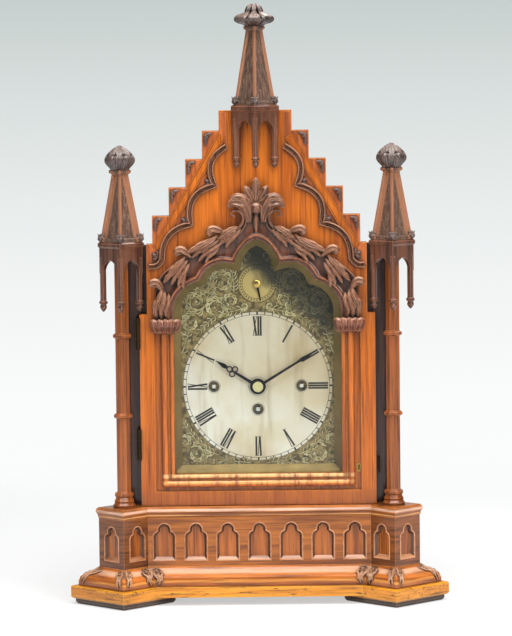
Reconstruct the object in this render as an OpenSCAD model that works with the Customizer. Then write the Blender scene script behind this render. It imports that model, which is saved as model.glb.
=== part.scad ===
// Gothic Revival carved oak table clock with a three train fusee movement.
// Millimetres. X runs to the right, Y to the back and Z up.
// The origin is on the table, under the middle of the clock.

/* [Base] */
// Depth of the clock, from the front tips of the corner blocks to the back of the slab
total_d = 290; // [275:1:330]
// Distance of each tower's centre line from the middle
tower_x = 175; // [172:1:190]
// Height of the feet
foot_h = 7.5; // [5:0.5:12]
// Thickness of the slab
slab_h = 16.5; // [12:0.5:24]
// Shadow gap that raises the middle of the slab above the corner blocks' underside
slab_gap = 3; // [1:0.5:6]
// Half diagonal of the diamond corner blocks of the slab
corner_r = 71; // [67:1:78]
// How far the slab stands out past the plinth at the sides
slab_reach = 26.5; // [20:0.5:32]
// Height of the base moulding
base_moulding_h = 24; // [18:1:32]
// How far the base moulding flares
base_flare = 20; // [14:1:24]
// Height of the arcaded frieze
frieze_h = 64; // [54:1:80]
// Thickness of the plinth's boards
plinth_t = 14; // [10:1:18]
// How far the frieze stands out in front of the towers' centre lines
frieze_step = 3.5; // [1:0.5:8]
// Half diagonal of the corner pedestals
pedestal_r = 33.5; // [28:0.5:37]
// Number of blind arches along the frieze
arch_count = 7; // [5:2:9]
// Width of one blind arch
arch_w = 29.6; // [20:0.2:31]
// Depth of the blind arches
arch_depth = 5; // [2:0.5:8]
// Height of the cornice
cornice_h = 14; // [10:1:20]
// How far the cornice stands out past the plinth
cornice_reach = 4; // [2:0.5:7]

/* [Case] */
// Thickness of the case sides
side_t = 12; // [8:1:16]
// Height of the case sides above the cornice
side_h = 274; // [260:1:290]
// Thickness of the board that carries the towers
frame_t = 10.5; // [8:0.5:14]
// Height of the roof's ridge above the case sides
roof_rise = 190; // [175:1:200]
// Thickness of the roof boards
roof_t = 10; // [6:1:14]
// Width of the sound openings in the case sides
fret_w = 92; // [60:1:100]
// Height of the sound openings in the case sides
fret_h = 150; // [100:1:170]
// Thickness of the back door
back_door_t = 12; // [9:1:16]
// Width of the back door's stiles and rails
back_stile = 34; // [26:1:44]
// Clearance around the back door
back_gap = 0.7; // [0.4:0.1:1.5]

/* [Towers] */
// Width of the eight sided columns across their flats
column_w = 17.5; // [14:0.5:20]
// Half diagonal of the side canopies
canopy_r = 30; // [27:0.5:31]
// Height of the side canopies' ledges above the table
canopy_z = 465; // [450:1:475]
// Height of the side spires
spire_h = 82; // [60:1:100]
// Half diagonal of the centre canopy
centre_r = 31; // [27:0.5:33]
// Height of the centre canopy's ledge above the gable
centre_rise = 7.5; // [4:0.5:14]
// Height of the centre spire
centre_spire_h = 87; // [70:1:110]

/* [Front door] */
// Gap between the door's edge and the columns
door_gap = 13.7; // [11:0.1:18]
// Gap between the door's upper part and the side canopies
canopy_gap = 2.5; // [2.5:0.1:5]
// Thickness of the door board
door_t = 20; // [18:0.5:24]
// Clearance under and behind the door
door_clear = 0.5; // [0.4:0.1:1]
// Width of the door's plain stile
stile_w = 19; // [15:0.5:22]
// Width of the sunk band between the stile and the moulding
band_w = 8.5; // [5:0.5:10]
// Width of the round and bead that frame the glass
moulding_w = 16.5; // [13:0.5:18]
// Height of the rail under the glass, with its moulding
rail_h = 41; // [34:1:50]
// Height of the arch springing above the cornice
spring_h = 244; // [236:1:250]
// Height of the arch above its springing
arch_rise = 102; // [98:1:105]
// Height of the gable's shoulders above the arch's springing
shoulder_rise = 97; // [92:1:102]
// Half width of the lowest gable step
gable_half = 134.4; // [132:0.2:138]
// Width of one gable step
step_run = 21.85; // [21:0.05:22]
// Height of one gable step
step_rise = 36.4; // [36:0.1:37.4]
// Height of the top gable step
top_rise = 25.9; // [22:0.1:30]
// Thickness of the glass
glass_t = 3; // [2:0.5:4]

/* [Dial and hands] */
// Height of the dial's centre above the cornice
dial_h = 152.6; // [150:0.2:156]
// Width of the gilt surround around the dial
surround_w = 9.5; // [8:0.5:14]
// Thickness of the dial plate
dial_t = 2.5; // [1.5:0.5:4]
// Depth from the front of the door to the dial
dial_depth = 29; // [28.5:0.5:32]
// Length of the minute hand
minute_l = 92; // [80:1:94]
// Length of the hour hand
hour_l = 65; // [50:1:72]
// Distance of the outer winding holes from the middle
wind_x = 57.2; // [56:0.2:60]
// Radius of the winding holes
wind_hole_r = 5.3; // [4.5:0.1:6]
// Height of the small dial above the dial's centre
small_dial_h = 134; // [130:1:140]

/* [Movement] */
// Half width of the movement plates
plate_half = 92; // [90:1:100]
// Thickness of the movement plates
plate_t = 4; // [3:0.5:5]
// Distance between the plates
plate_gap = 63; // [62:1:68]
// Centre distance of each great wheel and the pinion that it drives
great_a = 30.2; // [29.8:0.1:30.6]
// Centre distance of the centre wheel and the third pinion
centre_a = 27.3; // [27:0.1:27.6]
// Centre distance of the third wheel and the escape pinion
third_a = 23.4; // [23:0.1:23.8]
// Radius of the escape wheel
escape_r = 17; // [15.5:0.1:17.5]
// Centre distance of the wheels behind the dial
motion_a = 26; // [25.5:0.1:26.4]
// Radius of the spring barrels
barrel_r = 21.5; // [18:0.5:22]
// Running clearance of shafts in their holes
running = 0.05; // [0.02:0.01:0.1]
// Length of the pendulum, from its pivot to the middle of the bob
pendulum_l = 200; // [180:1:202]
// Radius of the pendulum bob
bob_r = 22; // [15:0.5:23]
// Swing of the pendulum to each side
swing = 3; // [2:0.5:3]
// Radius of the hour bell at its mouth
hour_bell_r = 28; // [24:0.5:29]
// Radius of the quarter bells at their mouths
quarter_bell_r = 20; // [16:0.5:20.5]

/* [Hidden] */
$fn = 48;

// Colours
oak = [0.66, 0.36, 0.14];
dark_oak = [0.40, 0.20, 0.11];
grey_oak = [0.40, 0.31, 0.25];
golden_oak = [0.70, 0.44, 0.20];
gilt = [0.62, 0.55, 0.33];
silvered = [0.83, 0.80, 0.70];
blued = [0.12, 0.12, 0.16];
brass = [0.80, 0.64, 0.30];
steel = [0.60, 0.61, 0.63];
clear_glass = [0.80, 0.88, 0.86, 0.35];

// Heights of the base's layers
z_slab = foot_h;
z_moulding = z_slab + slab_h;
z_frieze = z_moulding + base_moulding_h;
z_cornice = z_frieze + frieze_h;
z_floor = z_cornice + cornice_h;

// Places in plan
tower_y = corner_r - total_d / 2;
tower_back = total_d / 2;
frieze_y = tower_y - frieze_step;
plinth_half = tower_x + 4.5;
plinth_back = total_d / 2 - 4;
slab_y = frieze_y - 25.5;
door_y = tower_y + 2;
door_back = door_y + door_t;
frame_y = door_back + door_clear;
frame_back = frame_y + frame_t;
frame_half = tower_x - 3;
case_half = frame_half;
case_in = case_half - side_t;
case_back = total_d / 2 - 18;

// The front door
door_half = tower_x - column_w / 2 - door_gap;
upper_half = tower_x - canopy_r - canopy_gap;
door_z = z_floor + door_clear;
opening_half = door_half - stile_w - band_w - moulding_w;
opening_z = z_floor + rail_h;
spring_z = z_floor + spring_h;
shoulder_z = spring_z + shoulder_rise;
step_count = 5;
gable_top = shoulder_z + (step_count - 1) * step_rise + top_rise;
pendant_drop = 85;
widest_z = canopy_z - pendant_drop - 4;
hinge_x = -door_half - 2;
hinge_y = door_y - 3;
pocket_y = door_y + 12;
glass_in = 6;

// The dial and the movement
dial_z = z_floor + dial_h;
dial_y = door_y + dial_depth;
plate_y = dial_y + 16;
gap_y = plate_y + plate_t;
back_plate_y = gap_y + plate_gap;
back_plate_back = back_plate_y + plate_t;
going_z = dial_z - great_a;
third_z = dial_z + centre_a;
escape_z = third_z + third_a;
pallet_z = escape_z + escape_r / cos(45);
plate_bottom = dial_z - 110;
plate_top = pallet_z + 10;
barrel_pos = [[0, going_z - 53], [-62, dial_z - 58], [62, dial_z - 58]];
fusee_pos = [[0, going_z], [-wind_x, dial_z], [wind_x, dial_z]];
motion_angle = 60;
motion_pos = [motion_a * cos(motion_angle), dial_z + motion_a * sin(motion_angle)];
pendulum_y = back_plate_back + 13;
pivot_r = 1.2;
bell_z = plate_top + 20;
bell_y = gap_y + plate_gap / 2;
quarter_bell_x = 62;
hammer_gap = 1;

// The opposite of a list of points across the middle line
function mirrored(p) = [for (i = [len(p) - 1:-1:0]) [-p[i].x, p[i].y]];
function reversed(p) = [for (i = [len(p) - 1:-1:0]) p[i]];

// Points from a to b along an arc that stands s to the left of the straight way
function arc(a, b, s, n = 8) = let (
    c = norm(b - a),
    r = (c * c / 4 + s * s) / (2 * abs(s)),
    u = (b - a) / c,
    v = [-u.y, u.x] * sign(s),
    o = (a + b) / 2 - v * (r - abs(s)),
    h = asin(min(1, c / 2 / r)))
    [for (i = [0:n]) let (t = h * (2 * i / n - 1)) o + u * r * sin(t) + v * r * cos(t)];

// Points beside a list of points, d to the left
function beside(p, d) = [for (i = [0:len(p) - 1])
    let (a = p[max(i - 1, 0)], b = p[min(i + 1, len(p) - 1)], u = (b - a) / norm(b - a))
    p[i] + [-u.y, u.x] * d];

// A band of width w along a list of points
module band(p, w) {
    polygon(concat(beside(p, w / 2), reversed(beside(p, -w / 2))));
}

// Both halves of a drawing that is the same on both sides
module both() {
    children();
    mirror([1, 0]) children();
}

// A drawing in the front view, made solid from y0 to y1
module facing(y0, y1) {
    translate([0, y1, 0]) rotate([90, 0, 0]) linear_extrude(y1 - y0) children();
}

// A rectangle by two corners
module rect(a, b) {
    translate(a) square(b - a);
}

// A block by two corners
module block(a, b) {
    translate(a) cube(b - a);
}

// A prism along Y whose half width follows a list of [half width, height]
module profile_prism(p, w) {
    facing(-w, w) polygon(concat(p, mirrored(p)));
}

// A square block whose half side follows a list of [half side, height]
module square_stack(p) {
    w = max([for (q = p) q.x]) + 1;
    intersection() {
        profile_prism(p, w);
        rotate([0, 0, 90]) profile_prism(p, w);
    }
}

// A diamond in plan whose half diagonal follows a list of [half diagonal, height]
module diamond_stack(p) {
    rotate([0, 0, 45]) square_stack([for (q = p) [q.x / sqrt(2), q.y]]);
}

// An eight sided block whose half width follows a list of [half width, height]
module eight_stack(p) {
    intersection() {
        square_stack(p);
        rotate([0, 0, 45]) square_stack(p);
    }
}

// A diamond prism
module diamond(r, z0, z1) {
    diamond_stack([[r, z0], [r, z1]]);
}

// Does its child at both towers
module at_towers() {
    for (side = [-1, 1]) translate([side * tower_x, tower_y, 0]) children();
}

// The hollow inside the plinth
module plinth_hollow() {
    block([plinth_t - plinth_half, frieze_y + plinth_t, z_moulding - 1],
        [plinth_half - plinth_t, plinth_back + 30, z_cornice]);
}

// The ogee of the base moulding: how far it stands out at each height from 0 to 1
function ogee(t) = t < 0.25 ? 1 : t < 0.55 ? 1 - 0.12 * (t - 0.25) / 0.3
    : 0.88 * (1 - sin(90 * (t - 0.55) / 0.45));
moulding_steps = 12;
function base_profile(half, flare) = [for (i = [0:moulding_steps]) let (t = i / moulding_steps)
    [half + flare * ogee(t), z_moulding + base_moulding_h * t]];

// The rise of the cornice: fillet, hollow and round, as [reach, height]
cornice_steps = [[0, 0], [0.35, 0.12], [0.35, 0.3], [0.6, 0.42], [1, 0.55], [1, 0.7], [0.8, 0.8],
    [0.8, 0.86], [0, 1]];
function cornice_profile(half) = [for (q = cornice_steps)
    [half + cornice_reach * q.x, z_cornice + cornice_h * q.y]];

// Pads under the corner blocks and under the back of the slab
module feet() {
    color(dark_oak) {
        at_towers() diamond_stack([[corner_r - 9, 0], [corner_r - 6, 3], [corner_r - 6, foot_h]]);
        for (side = [-1, 1])
            block([side * (plinth_half - 14) - 22, plinth_back - 44, 0],
                [side * (plinth_half - 14) + 22, plinth_back - 4, foot_h + slab_gap]);
    }
}

// Bottom board between the corner blocks
module slab() {
    slab_half = plinth_half + slab_reach;
    color(golden_oak) difference() {
        block([-slab_half, slab_y, z_slab + slab_gap], [slab_half, total_d / 2, z_moulding]);
        at_towers() diamond(corner_r, 0, z_moulding + 1);
    }
}

module corner_blocks() {
    color(golden_oak) at_towers()
        diamond_stack([[corner_r - 2, z_slab], [corner_r, z_slab + 2],
            [corner_r, z_moulding - 2], [corner_r - 2, z_moulding]]);
}

// Flared mouldings around the foot of each pedestal
module corner_mouldings() {
    difference() {
        at_towers() diamond_stack(base_profile(pedestal_r, corner_r - pedestal_r - 10));
        plinth_hollow();
    }
}

// Moulding around the front and sides of the plinth, mitred into the corner mouldings
module base_mouldings() {
    side = base_profile(plinth_half, base_flare);
    front = base_profile(0, base_flare);
    reach = 2 * plinth_half;
    color(dark_oak) {
        difference() {
            intersection() {
                profile_prism(side, reach);
                rotate([90, 0, 90]) translate([0, 0, -reach]) linear_extrude(2 * reach)
                    polygon(concat([for (q = front) [frieze_y - q.x, q.y]],
                        [[plinth_back, z_frieze], [plinth_back, z_moulding]]));
            }
            plinth_hollow();
            at_towers() diamond_stack(base_profile(pedestal_r, corner_r - pedestal_r - 10));
        }
        corner_mouldings();
    }
}

// A blind arch with a trefoil head, standing on y = 0
module trefoil_arch(w, h) {
    lobe = w * 0.24;
    neck = h - w * 0.62;
    rect([-w / 2, 0], [w / 2, neck]);
    translate([0, neck]) for (side = [-1, 1]) translate([side * (w / 2 - lobe), 0]) circle(lobe);
    translate([0, neck + w * 0.3]) circle(w * 0.3);
    rect([-w * 0.3, neck - 1], [w * 0.3, neck + w * 0.3]);
}

// Front board of the plinth with its row of blind arches
module frieze() {
    half = tower_x - pedestal_r + frieze_step;
    pitch = 2 * (half - 0.5) / arch_count;
    sill = z_frieze + 7;
    color(oak) difference() {
        block([-plinth_half + plinth_t, frieze_y, z_frieze],
            [plinth_half - plinth_t, frieze_y + plinth_t, z_cornice]);
        at_towers() diamond(pedestal_r, z_frieze - 1, z_cornice + 1);
        for (i = [0:arch_count - 1])
            translate([(i - (arch_count - 1) / 2) * pitch, 0, sill])
                facing(frieze_y - 1, frieze_y + arch_depth)
                    trefoil_arch(min(arch_w, pitch - 4), frieze_h - 14);
    }
}

// Side and back boards of the plinth
module plinth_frame() {
    color(oak) difference() {
        union() {
            block([-plinth_half, tower_y, z_frieze], [plinth_half, plinth_back, z_cornice]);
            block([plinth_t - plinth_half, plinth_back - plinth_t, z_moulding],
                [plinth_half - plinth_t, plinth_back, z_cornice]);
        }
        block([plinth_t - plinth_half, tower_y - 1, z_moulding - 1],
            [plinth_half - plinth_t, plinth_back - plinth_t, z_cornice + 1]);
        at_towers() diamond(pedestal_r, z_moulding - 1, z_cornice + 1);
    }
}

// Diamond pedestals under the columns, with a blind arch on each outer face
module pedestals() {
    face = pedestal_r / sqrt(2);
    sill = z_frieze + 9;
    color(oak) difference() {
        at_towers() diamond(pedestal_r, z_frieze, z_cornice);
        plinth_hollow();
        at_towers() for (turn = [-45, 45]) rotate([0, 0, turn])
            translate([0, 0, sill]) facing(-face - 1, arch_depth - face)
                trefoil_arch(face * 1.15, frieze_h - 18);
    }
}

// Top board of the plinth, with the caps of the pedestals
module cornice() {
    side = cornice_profile(plinth_half);
    front = cornice_profile(0);
    reach = 2 * plinth_half;
    caps = cornice_profile(pedestal_r);
    color(dark_oak) {
        difference() {
            intersection() {
                profile_prism(side, reach);
                rotate([90, 0, 90]) translate([0, 0, -reach]) linear_extrude(2 * reach)
                    polygon(concat([for (q = front) [frieze_y - q.x, q.y]],
                        [[plinth_back, z_floor], [plinth_back, z_cornice]]));
            }
            at_towers() diamond_stack(caps);
        }
        at_towers() diamond_stack(caps);
    }
}

// A list of points without its first one
function skip(p) = [for (i = [1:len(p) - 1]) p[i]];

// A closed outline drawn in by d, taken anticlockwise
function inset(p, d) = [for (i = [0:len(p) - 1]) let (
    n = len(p), a = p[(i + n - 1) % n], b = p[i], c = p[(i + 1) % n],
    u = (b - a) / norm(b - a), w = (c - b) / norm(c - b),
    k = [-u.y - w.y, u.x + w.x], e = k / norm(k))
    b + e * d / max(0.45, e * [-u.y, u.x])];

// Right half of the glazed opening: a cusped ogee arch on straight jambs
arch_foot = [opening_half, spring_z];
arch_cusp_low = [opening_half * 0.68, spring_z + arch_rise * 0.49];
arch_cusp_high = [opening_half * 0.27, spring_z + arch_rise * 0.69];
arch_apex = [0, spring_z + arch_rise];
arch_right = concat([[opening_half, opening_z]], arc(arch_foot, arch_cusp_low, -12),
    skip(arc(arch_cusp_low, arch_cusp_high, -10.5)), skip(arc(arch_cusp_high, arch_apex, -6.6)));
opening = concat(arch_right, skip(mirrored(arch_right)));

// The underside of the roof at a distance x from the middle
eaves_z = z_floor + side_h;
function roof_under(x) = eaves_z + roof_rise * (1 - x / case_half);
back_top = eaves_z - 14;

// Case sides, with a sound opening in each and their tops bevelled to the roof
module carcass_sides() {
    fret_y = (frame_back + case_back) / 2;
    fret_z = z_floor + side_h / 2;
    color(oak) difference() {
        facing(frame_back, case_back) both()
            polygon([[case_in, z_floor], [case_half, z_floor], [case_half, eaves_z],
                [case_in, roof_under(case_in)]]);
        block([-case_half - 1, fret_y - fret_w / 2, fret_z - fret_h / 2],
            [case_half + 1, fret_y + fret_w / 2, fret_z + fret_h / 2]);
        block([-case_in - fret_step, fret_y - fret_w / 2 - fret_lap, fret_z - fret_h / 2 - fret_lap],
            [case_in + fret_step, fret_y + fret_w / 2 + fret_lap, fret_z + fret_h / 2 + fret_lap]);
    }
}
fret_lap = 5;
fret_step = 5;
fret_clear = 0.3;

// Pierced panels behind the sound openings
module side_frets() {
    fret_y = (frame_back + case_back) / 2;
    fret_z = z_floor + side_h / 2;
    hole_r = 5.5;
    pitch = 15;
    half_w = fret_w / 2 + fret_lap - fret_clear;
    half_h = fret_h / 2 + fret_lap - fret_clear;
    columns = floor((fret_w / 2 - hole_r) / pitch);
    rows = floor((fret_h / 2 - hole_r) / pitch);
    color(dark_oak) for (side = [-1, 1]) translate([side * (case_in + fret_step - 2), fret_y, fret_z])
        rotate([0, 90, 0]) translate([0, 0, -2]) linear_extrude(4) difference() {
            square([2 * half_h, 2 * half_w], center = true);
            for (i = [-rows:rows], j = [-columns:columns])
                translate([i * pitch, j * pitch]) circle(hole_r);
        }
}

// Board behind the front door, which carries the canopies on its shoulders
module front_frame() {
    peak = roof_under(0) + 32;
    right = [[frame_half, z_floor], [frame_half, canopy_z], [upper_half - 14, canopy_z], [0, peak]];
    color(dark_oak) facing(frame_y, frame_back) difference() {
        polygon(concat(right, skip(mirrored(right))));
        polygon(inset(opening, -glass_in));
    }
}

// Two roof boards and the gable that closes them at the back
module roof() {
    over = roof_t / cos(atan(roof_rise / case_half));
    edge = case_half + 4;
    half = over / 2;
    color(dark_oak) {
        facing(frame_back, case_back)
            polygon([[edge, roof_under(edge)], [0, roof_under(0)], [-edge, roof_under(edge)],
                [-edge, roof_under(edge) + over], [0, roof_under(0) + over],
                [edge, roof_under(edge) + over]]);
        facing(case_back - back_door_t, case_back)
            polygon([[-case_in, back_top], [case_in, back_top], [case_in, roof_under(case_in) + half],
                [0, roof_under(0) + half], [-case_in, roof_under(case_in) + half]]);
    }
}

// Board under the movement, on two cheeks that stand on the plinth
module seatboard() {
    seat_t = 12;
    seat_half = plate_half + 30;
    cheek_t = 14;
    y0 = plate_y - 4;
    y1 = back_plate_back + 2;
    color(oak) {
        block([-seat_half, y0, plate_bottom - seat_t], [seat_half, y1, plate_bottom]);
        for (side = [-1, 1]) block([side * (seat_half - cheek_t) - cheek_t / 2, y0, z_floor],
            [side * (seat_half - cheek_t) + cheek_t / 2, y1, plate_bottom - seat_t]);
    }
}

// Framed back door with a rebate for its glass
back_half = case_in - back_gap;
back_z0 = z_floor + back_gap;
back_z1 = back_top - back_gap;
catch_pos = [back_half - back_stile / 2, (back_z0 + back_z1) / 2];
catch_r = 3;
// The catch's tongue turns behind a keeper of this thickness on the case side
catch_keeper_t = 2.3;
module back_door() {
    y0 = case_back - back_door_t;
    color(dark_oak) difference() {
        facing(y0, case_back) rect([-back_half, back_z0], [back_half, back_z1]);
        facing(y0 - 1, case_back + 1)
            rect([back_stile - back_half, back_z0 + back_stile],
                [back_half - back_stile, back_z1 - back_stile]);
        facing(y0 - 1, y0 + 6) rect([back_stile - back_half - 5, back_z0 + back_stile - 5],
            [back_half - back_stile + 5, back_z1 - back_stile + 5]);
        translate([catch_pos.x, case_back + 1, catch_pos.y]) rotate([90, 0, 0])
            cylinder(h = back_door_t + 2, r = catch_r + running);
    }
}
module back_door_glass() {
    y0 = case_back - back_door_t;
    lap = 5 - fret_clear;
    color(clear_glass) facing(y0 + 6 - glass_t, y0 + 6)
        rect([back_stile - back_half - lap, back_z0 + back_stile - lap],
            [back_half - back_stile + lap, back_z1 - back_stile + lap]);
}

// Knob, spindle and tongue that hold the back door shut
module back_door_catch() {
    tongue = case_in - 1.5 - catch_pos.x;
    y0 = case_back - back_door_t;
    color(brass) translate([catch_pos.x, 0, catch_pos.y]) {
        translate([0, case_back + 0.5, 0]) rotate([90, 0, 0])
            cylinder(h = back_door_t + catch_keeper_t + 4, r = catch_r);
        translate([0, case_back + 0.3, 0]) rotate([-90, 0, 0]) rotate_extrude()
            polygon([[0, 0], [6, 0], [6, 2], [3.4, 4], [3.4, 7], [8, 10], [8, 14], [5, 16], [0, 16]]);
        block([-5, y0 - catch_keeper_t - 3.5, -6], [5, y0 - catch_keeper_t - 0.6, tongue]);
    }
}

// Eight sided column with a bell shaped base and two rings
ring_h = [102, 206];
module column() {
    w = column_w / 2;
    base = [[w + 5.5, 0], [w + 5.5, 3], [w + 3, 6], [w + 4, 8], [w + 1.5, 13], [w + 3.2, 15],
        [w + 3.2, 18], [w, 20]];
    eight_stack([for (q = base) [q.x, z_floor + q.y]]);
    eight_stack([[w, z_floor + 20], [w, canopy_z - 16]]);
    for (h = ring_h) translate([0, 0, z_floor + 17 + h])
        eight_stack([[w, -3.5], [w + 3, -1.5], [w + 3, 1.5], [w, 3.5]]);
}
module column_left() {
    color(oak) translate([-tower_x, tower_y, 0]) column();
}
module column_right() {
    color(oak) translate([tower_x, tower_y, 0]) column();
}

// A pointed arch with its foot on y = 0 and its point at h
module pointed_arch(w, spring, h) {
    right = concat([[w / 2, 0]], arc([w / 2, spring], [0, h], -w * 0.12));
    polygon(concat(right, skip(mirrored(right))));
}

// Diamond canopy: a ledge over four pointed arches, with pendants under its corners
module canopy(r, ledge_z, ledge_h, arch_drop, drop) {
    wall = 5.5;
    spring_drop = arch_drop + 16;
    pendant_r = r - 6.5;
    shaft_r = 4;
    skirt_r = r - 2;
    clear_w = (pendant_r - shaft_r) * sqrt(2);
    difference() {
        union() {
            diamond(skirt_r, ledge_z - spring_drop - 2, ledge_z);
            diamond_stack([[skirt_r, ledge_z - 2], [r, ledge_z], [r, ledge_z + ledge_h - 2],
                [r - 3, ledge_z + ledge_h]]);
        }
        diamond(skirt_r - wall * sqrt(2), ledge_z - spring_drop - 3, ledge_z - arch_drop + 1);
        for (turn = [45, 135]) rotate([0, 0, turn])
            translate([0, 0, ledge_z - spring_drop - 3]) facing(-2 * r, 2 * r)
                pointed_arch(clear_w, 3, spring_drop - arch_drop + 3);
    }
    for (turn = [-90, 0, 180]) rotate([0, 0, turn]) translate([pendant_r, 0, 0]) {
        translate([0, 0, ledge_z - drop + 13])
            cylinder(h = drop - 11 - arch_drop, r = shaft_r, $fn = 8);
        translate([0, 0, ledge_z - drop]) rotate_extrude($fn = 24)
            polygon([[0, 0], [2.2, 2], [4.6, 6], [3.6, 10], [5.4, 11], [5.4, 14], [4, 15], [0, 15]]);
    }
}

// Side canopies are cut flat where they meet the board behind
module side_canopy() {
    difference() {
        canopy(canopy_r, canopy_z, 6, 17, pendant_drop);
        block([-50, frame_y - tower_y, canopy_z - 100], [50, 60, canopy_z]);
    }
}
module canopy_left() {
    color(dark_oak) translate([-tower_x, tower_y, 0]) side_canopy();
}
module canopy_right() {
    color(dark_oak) translate([tower_x, tower_y, 0]) side_canopy();
}

// Four sided spire with a rib on each edge, a bud at each corner of its foot and a collar on top
module spire(r0, r1, h, collar_r) {
    rib = 2;
    diamond_stack([[r0 - rib, 0], [r1 - rib, h]]);
    intersection() {
        diamond_stack([[r0, 0], [r1, h]]);
        for (turn = [0, 90]) rotate([0, 0, turn]) block([-r0, -rib, 0], [r0, rib, h]);
    }
    diamond_stack([[r0 + 1.5, -5], [r0 + 1.5, -1], [r0, 0]]);
    diamond_stack([[r1 - 1, h - 1], [r1, h], [collar_r, h + 2], [collar_r, h + 5], [r1, h + 7]]);
    for (turn = [0:90:270]) rotate([0, 0, turn]) translate([r0 - 1, 0, -5]) rotate_extrude($fn = 24)
        polygon([[0, 0], [3, 0], [2.2, 2], [4.4, 5], [3.6, 8], [0, 10]]);
}

// Side spire with its onion shaped bud
module turret() {
    translate([0, 0, canopy_z + 11]) spire(25.7, 10.7, spire_h, 14.3);
    translate([0, 0, canopy_z + 11 + spire_h]) rotate_extrude() polygon(concat([[0, 5], [8, 5], [8, 8]],
        arc([11, 10], [9, 25], -6, 6), [[4, 30], [1.5, 36], [0, 36.5]]));
}
module turret_left() {
    color(grey_oak) translate([-tower_x, tower_y, 0]) turret();
}
module turret_right() {
    color(grey_oak) translate([tower_x, tower_y, 0]) turret();
}

// Outline of the door: straight sides, shoulders and the steps of the gable
door_right = concat([[door_half, door_z], [door_half, widest_z], [upper_half, widest_z],
    [upper_half, shoulder_z]],
    [for (i = [0:step_count - 1], j = [0, 1]) [gable_half - i * step_run,
        j == 0 ? shoulder_z + i * step_rise
            : min(shoulder_z + (i + 1) * step_rise, gable_top)]]);
door_outline = concat(door_right, mirrored(door_right));

// The rectangle that holds the glass behind the opening
module glass_pocket(clear) {
    rect([clear - opening_half - glass_in, opening_z - glass_in + clear],
        [opening_half + glass_in - clear, spring_z + arch_rise + glass_in - clear]);
}

// Place of the lock in the door
keyhole = [opening_half + 21.5, opening_z + 9];
lock_w = 26;
lock_h = 44;
lock_t = 8;
bolt_h = 9;
bolt_t = 4;
bolt_throw = 7;
// The field around the glass is sunk, and its moulding stands in it
sunk = 4;
jamb_top = spring_z - 18;
sill_z = opening_z - moulding_w;

module door_board() {
    color(oak) difference() {
        facing(door_y, door_back) difference() {
            polygon(door_outline);
            polygon(opening);
        }
        facing(door_y - 1, door_y + sunk)
            rect([-opening_half - moulding_w - band_w, sill_z - band_w + 3],
                [opening_half + moulding_w + band_w, jamb_top]);
        facing(pocket_y, door_back + 1) glass_pocket(0);
        facing(door_back - lock_t, door_back + 1)
            rect([keyhole.x - 10, keyhole.y - lock_h / 2],
                [keyhole.x - 10 + lock_w, keyhole.y + lock_h / 2]);
        facing(door_back - lock_t + 1.5, door_back - lock_t + 2 + bolt_t)
            rect([keyhole.x, keyhole.y - bolt_h / 2 - 0.3], [door_half + 1, keyhole.y + bolt_h / 2 + 0.3]);
        facing(door_y - 1, door_back) translate(keyhole) {
            circle(1.9);
            rect([-0.9, -5.5], [0.9, 0]);
        }
    }
}

// Section of the moulding around the glass: bead, quirk and round, x away from the glass
module moulding_section() {
    bead = 2.9;
    round_r = (moulding_w - 2 * bead - 2) / 2;
    rect([0, 0], [moulding_w, 2.5]);
    translate([bead, 2.5]) circle(bead);
    translate([moulding_w - round_r, 2.5]) circle(round_r);
}

// Jambs and sill of the moulding, mitred at the lower corners
module door_moulding() {
    reach = opening_half + moulding_w;
    color(dark_oak) intersection() {
        union() {
            difference() {
                for (side = [0, 1]) mirror([side, 0, 0]) translate([opening_half, door_y + sunk, sill_z])
                    mirror([0, 1, 0]) linear_extrude(jamb_top - sill_z) moulding_section();
                facing(door_y - 20, door_y + 20)
                    polygon([[-reach - 1, sill_z - 1], [0, sill_z + reach], [reach + 1, sill_z - 1]]);
            }
            intersection() {
                translate([-reach, door_y + sunk, opening_z]) mirror([0, 1, 0]) rotate([90, 0, 90])
                    linear_extrude(2 * reach) rotate(-90) moulding_section();
                facing(door_y - 20, door_y + 20)
                    polygon([[-reach, sill_z], [0, sill_z + reach], [reach, sill_z]]);
            }
        }
        block([-reach, door_y - 9, sill_z], [reach, door_y + sunk, jamb_top]);
    }
}

// Cusped moulding under the gable's rake, with the plain rake and its carved triangles
cusp_low = [gable_half - 50.7, shoulder_z + 25];
cusp_high = [gable_half - 82, shoulder_z + 75];
lobe_end = [gable_half - 12.7, shoulder_z - 20];
lobe_start = [gable_half - 97.5, shoulder_z + 125];
moulding_end = [upper_half - 3, shoulder_z - 29];
gable_lobes = [[moulding_end, lobe_end, 4], [lobe_end, cusp_low, -13],
    [cusp_low, cusp_high, -15], [cusp_high, lobe_start, -13]];
rake_low = [gable_half - 2, shoulder_z - 3];
rake_high = rake_low + [-step_run, step_rise] * 4.05;
module gable_moulding() {
    roll_t = 7;
    color(dark_oak) {
        facing(door_y - roll_t + 3, door_y) both() for (q = gable_lobes)
            band(arc(q[0], q[1], q[2]), 7);
        facing(door_y - roll_t, door_y - roll_t + 3) both() for (q = gable_lobes)
            band(beside(arc(q[0], q[1], q[2]), -1), 3.4);
        facing(door_y - 3, door_y) both() {
            band([rake_low, rake_high], 3);
            for (i = [0:step_count - 2]) translate([gable_half - i * step_run, shoulder_z + i * step_rise])
                polygon([[-2.5, step_rise - 2.5], [-step_run + 5, step_rise - 2.5],
                    [-2.5, step_rise * 0.32]]);
        }
    }
}

// A leaf from the origin along +y, swelling to width w
module leaf(l, w) {
    right = arc([0, 0], [0, l], -w / 2, 8);
    polygon(concat(right, skip(mirrored(right))));
}

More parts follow.
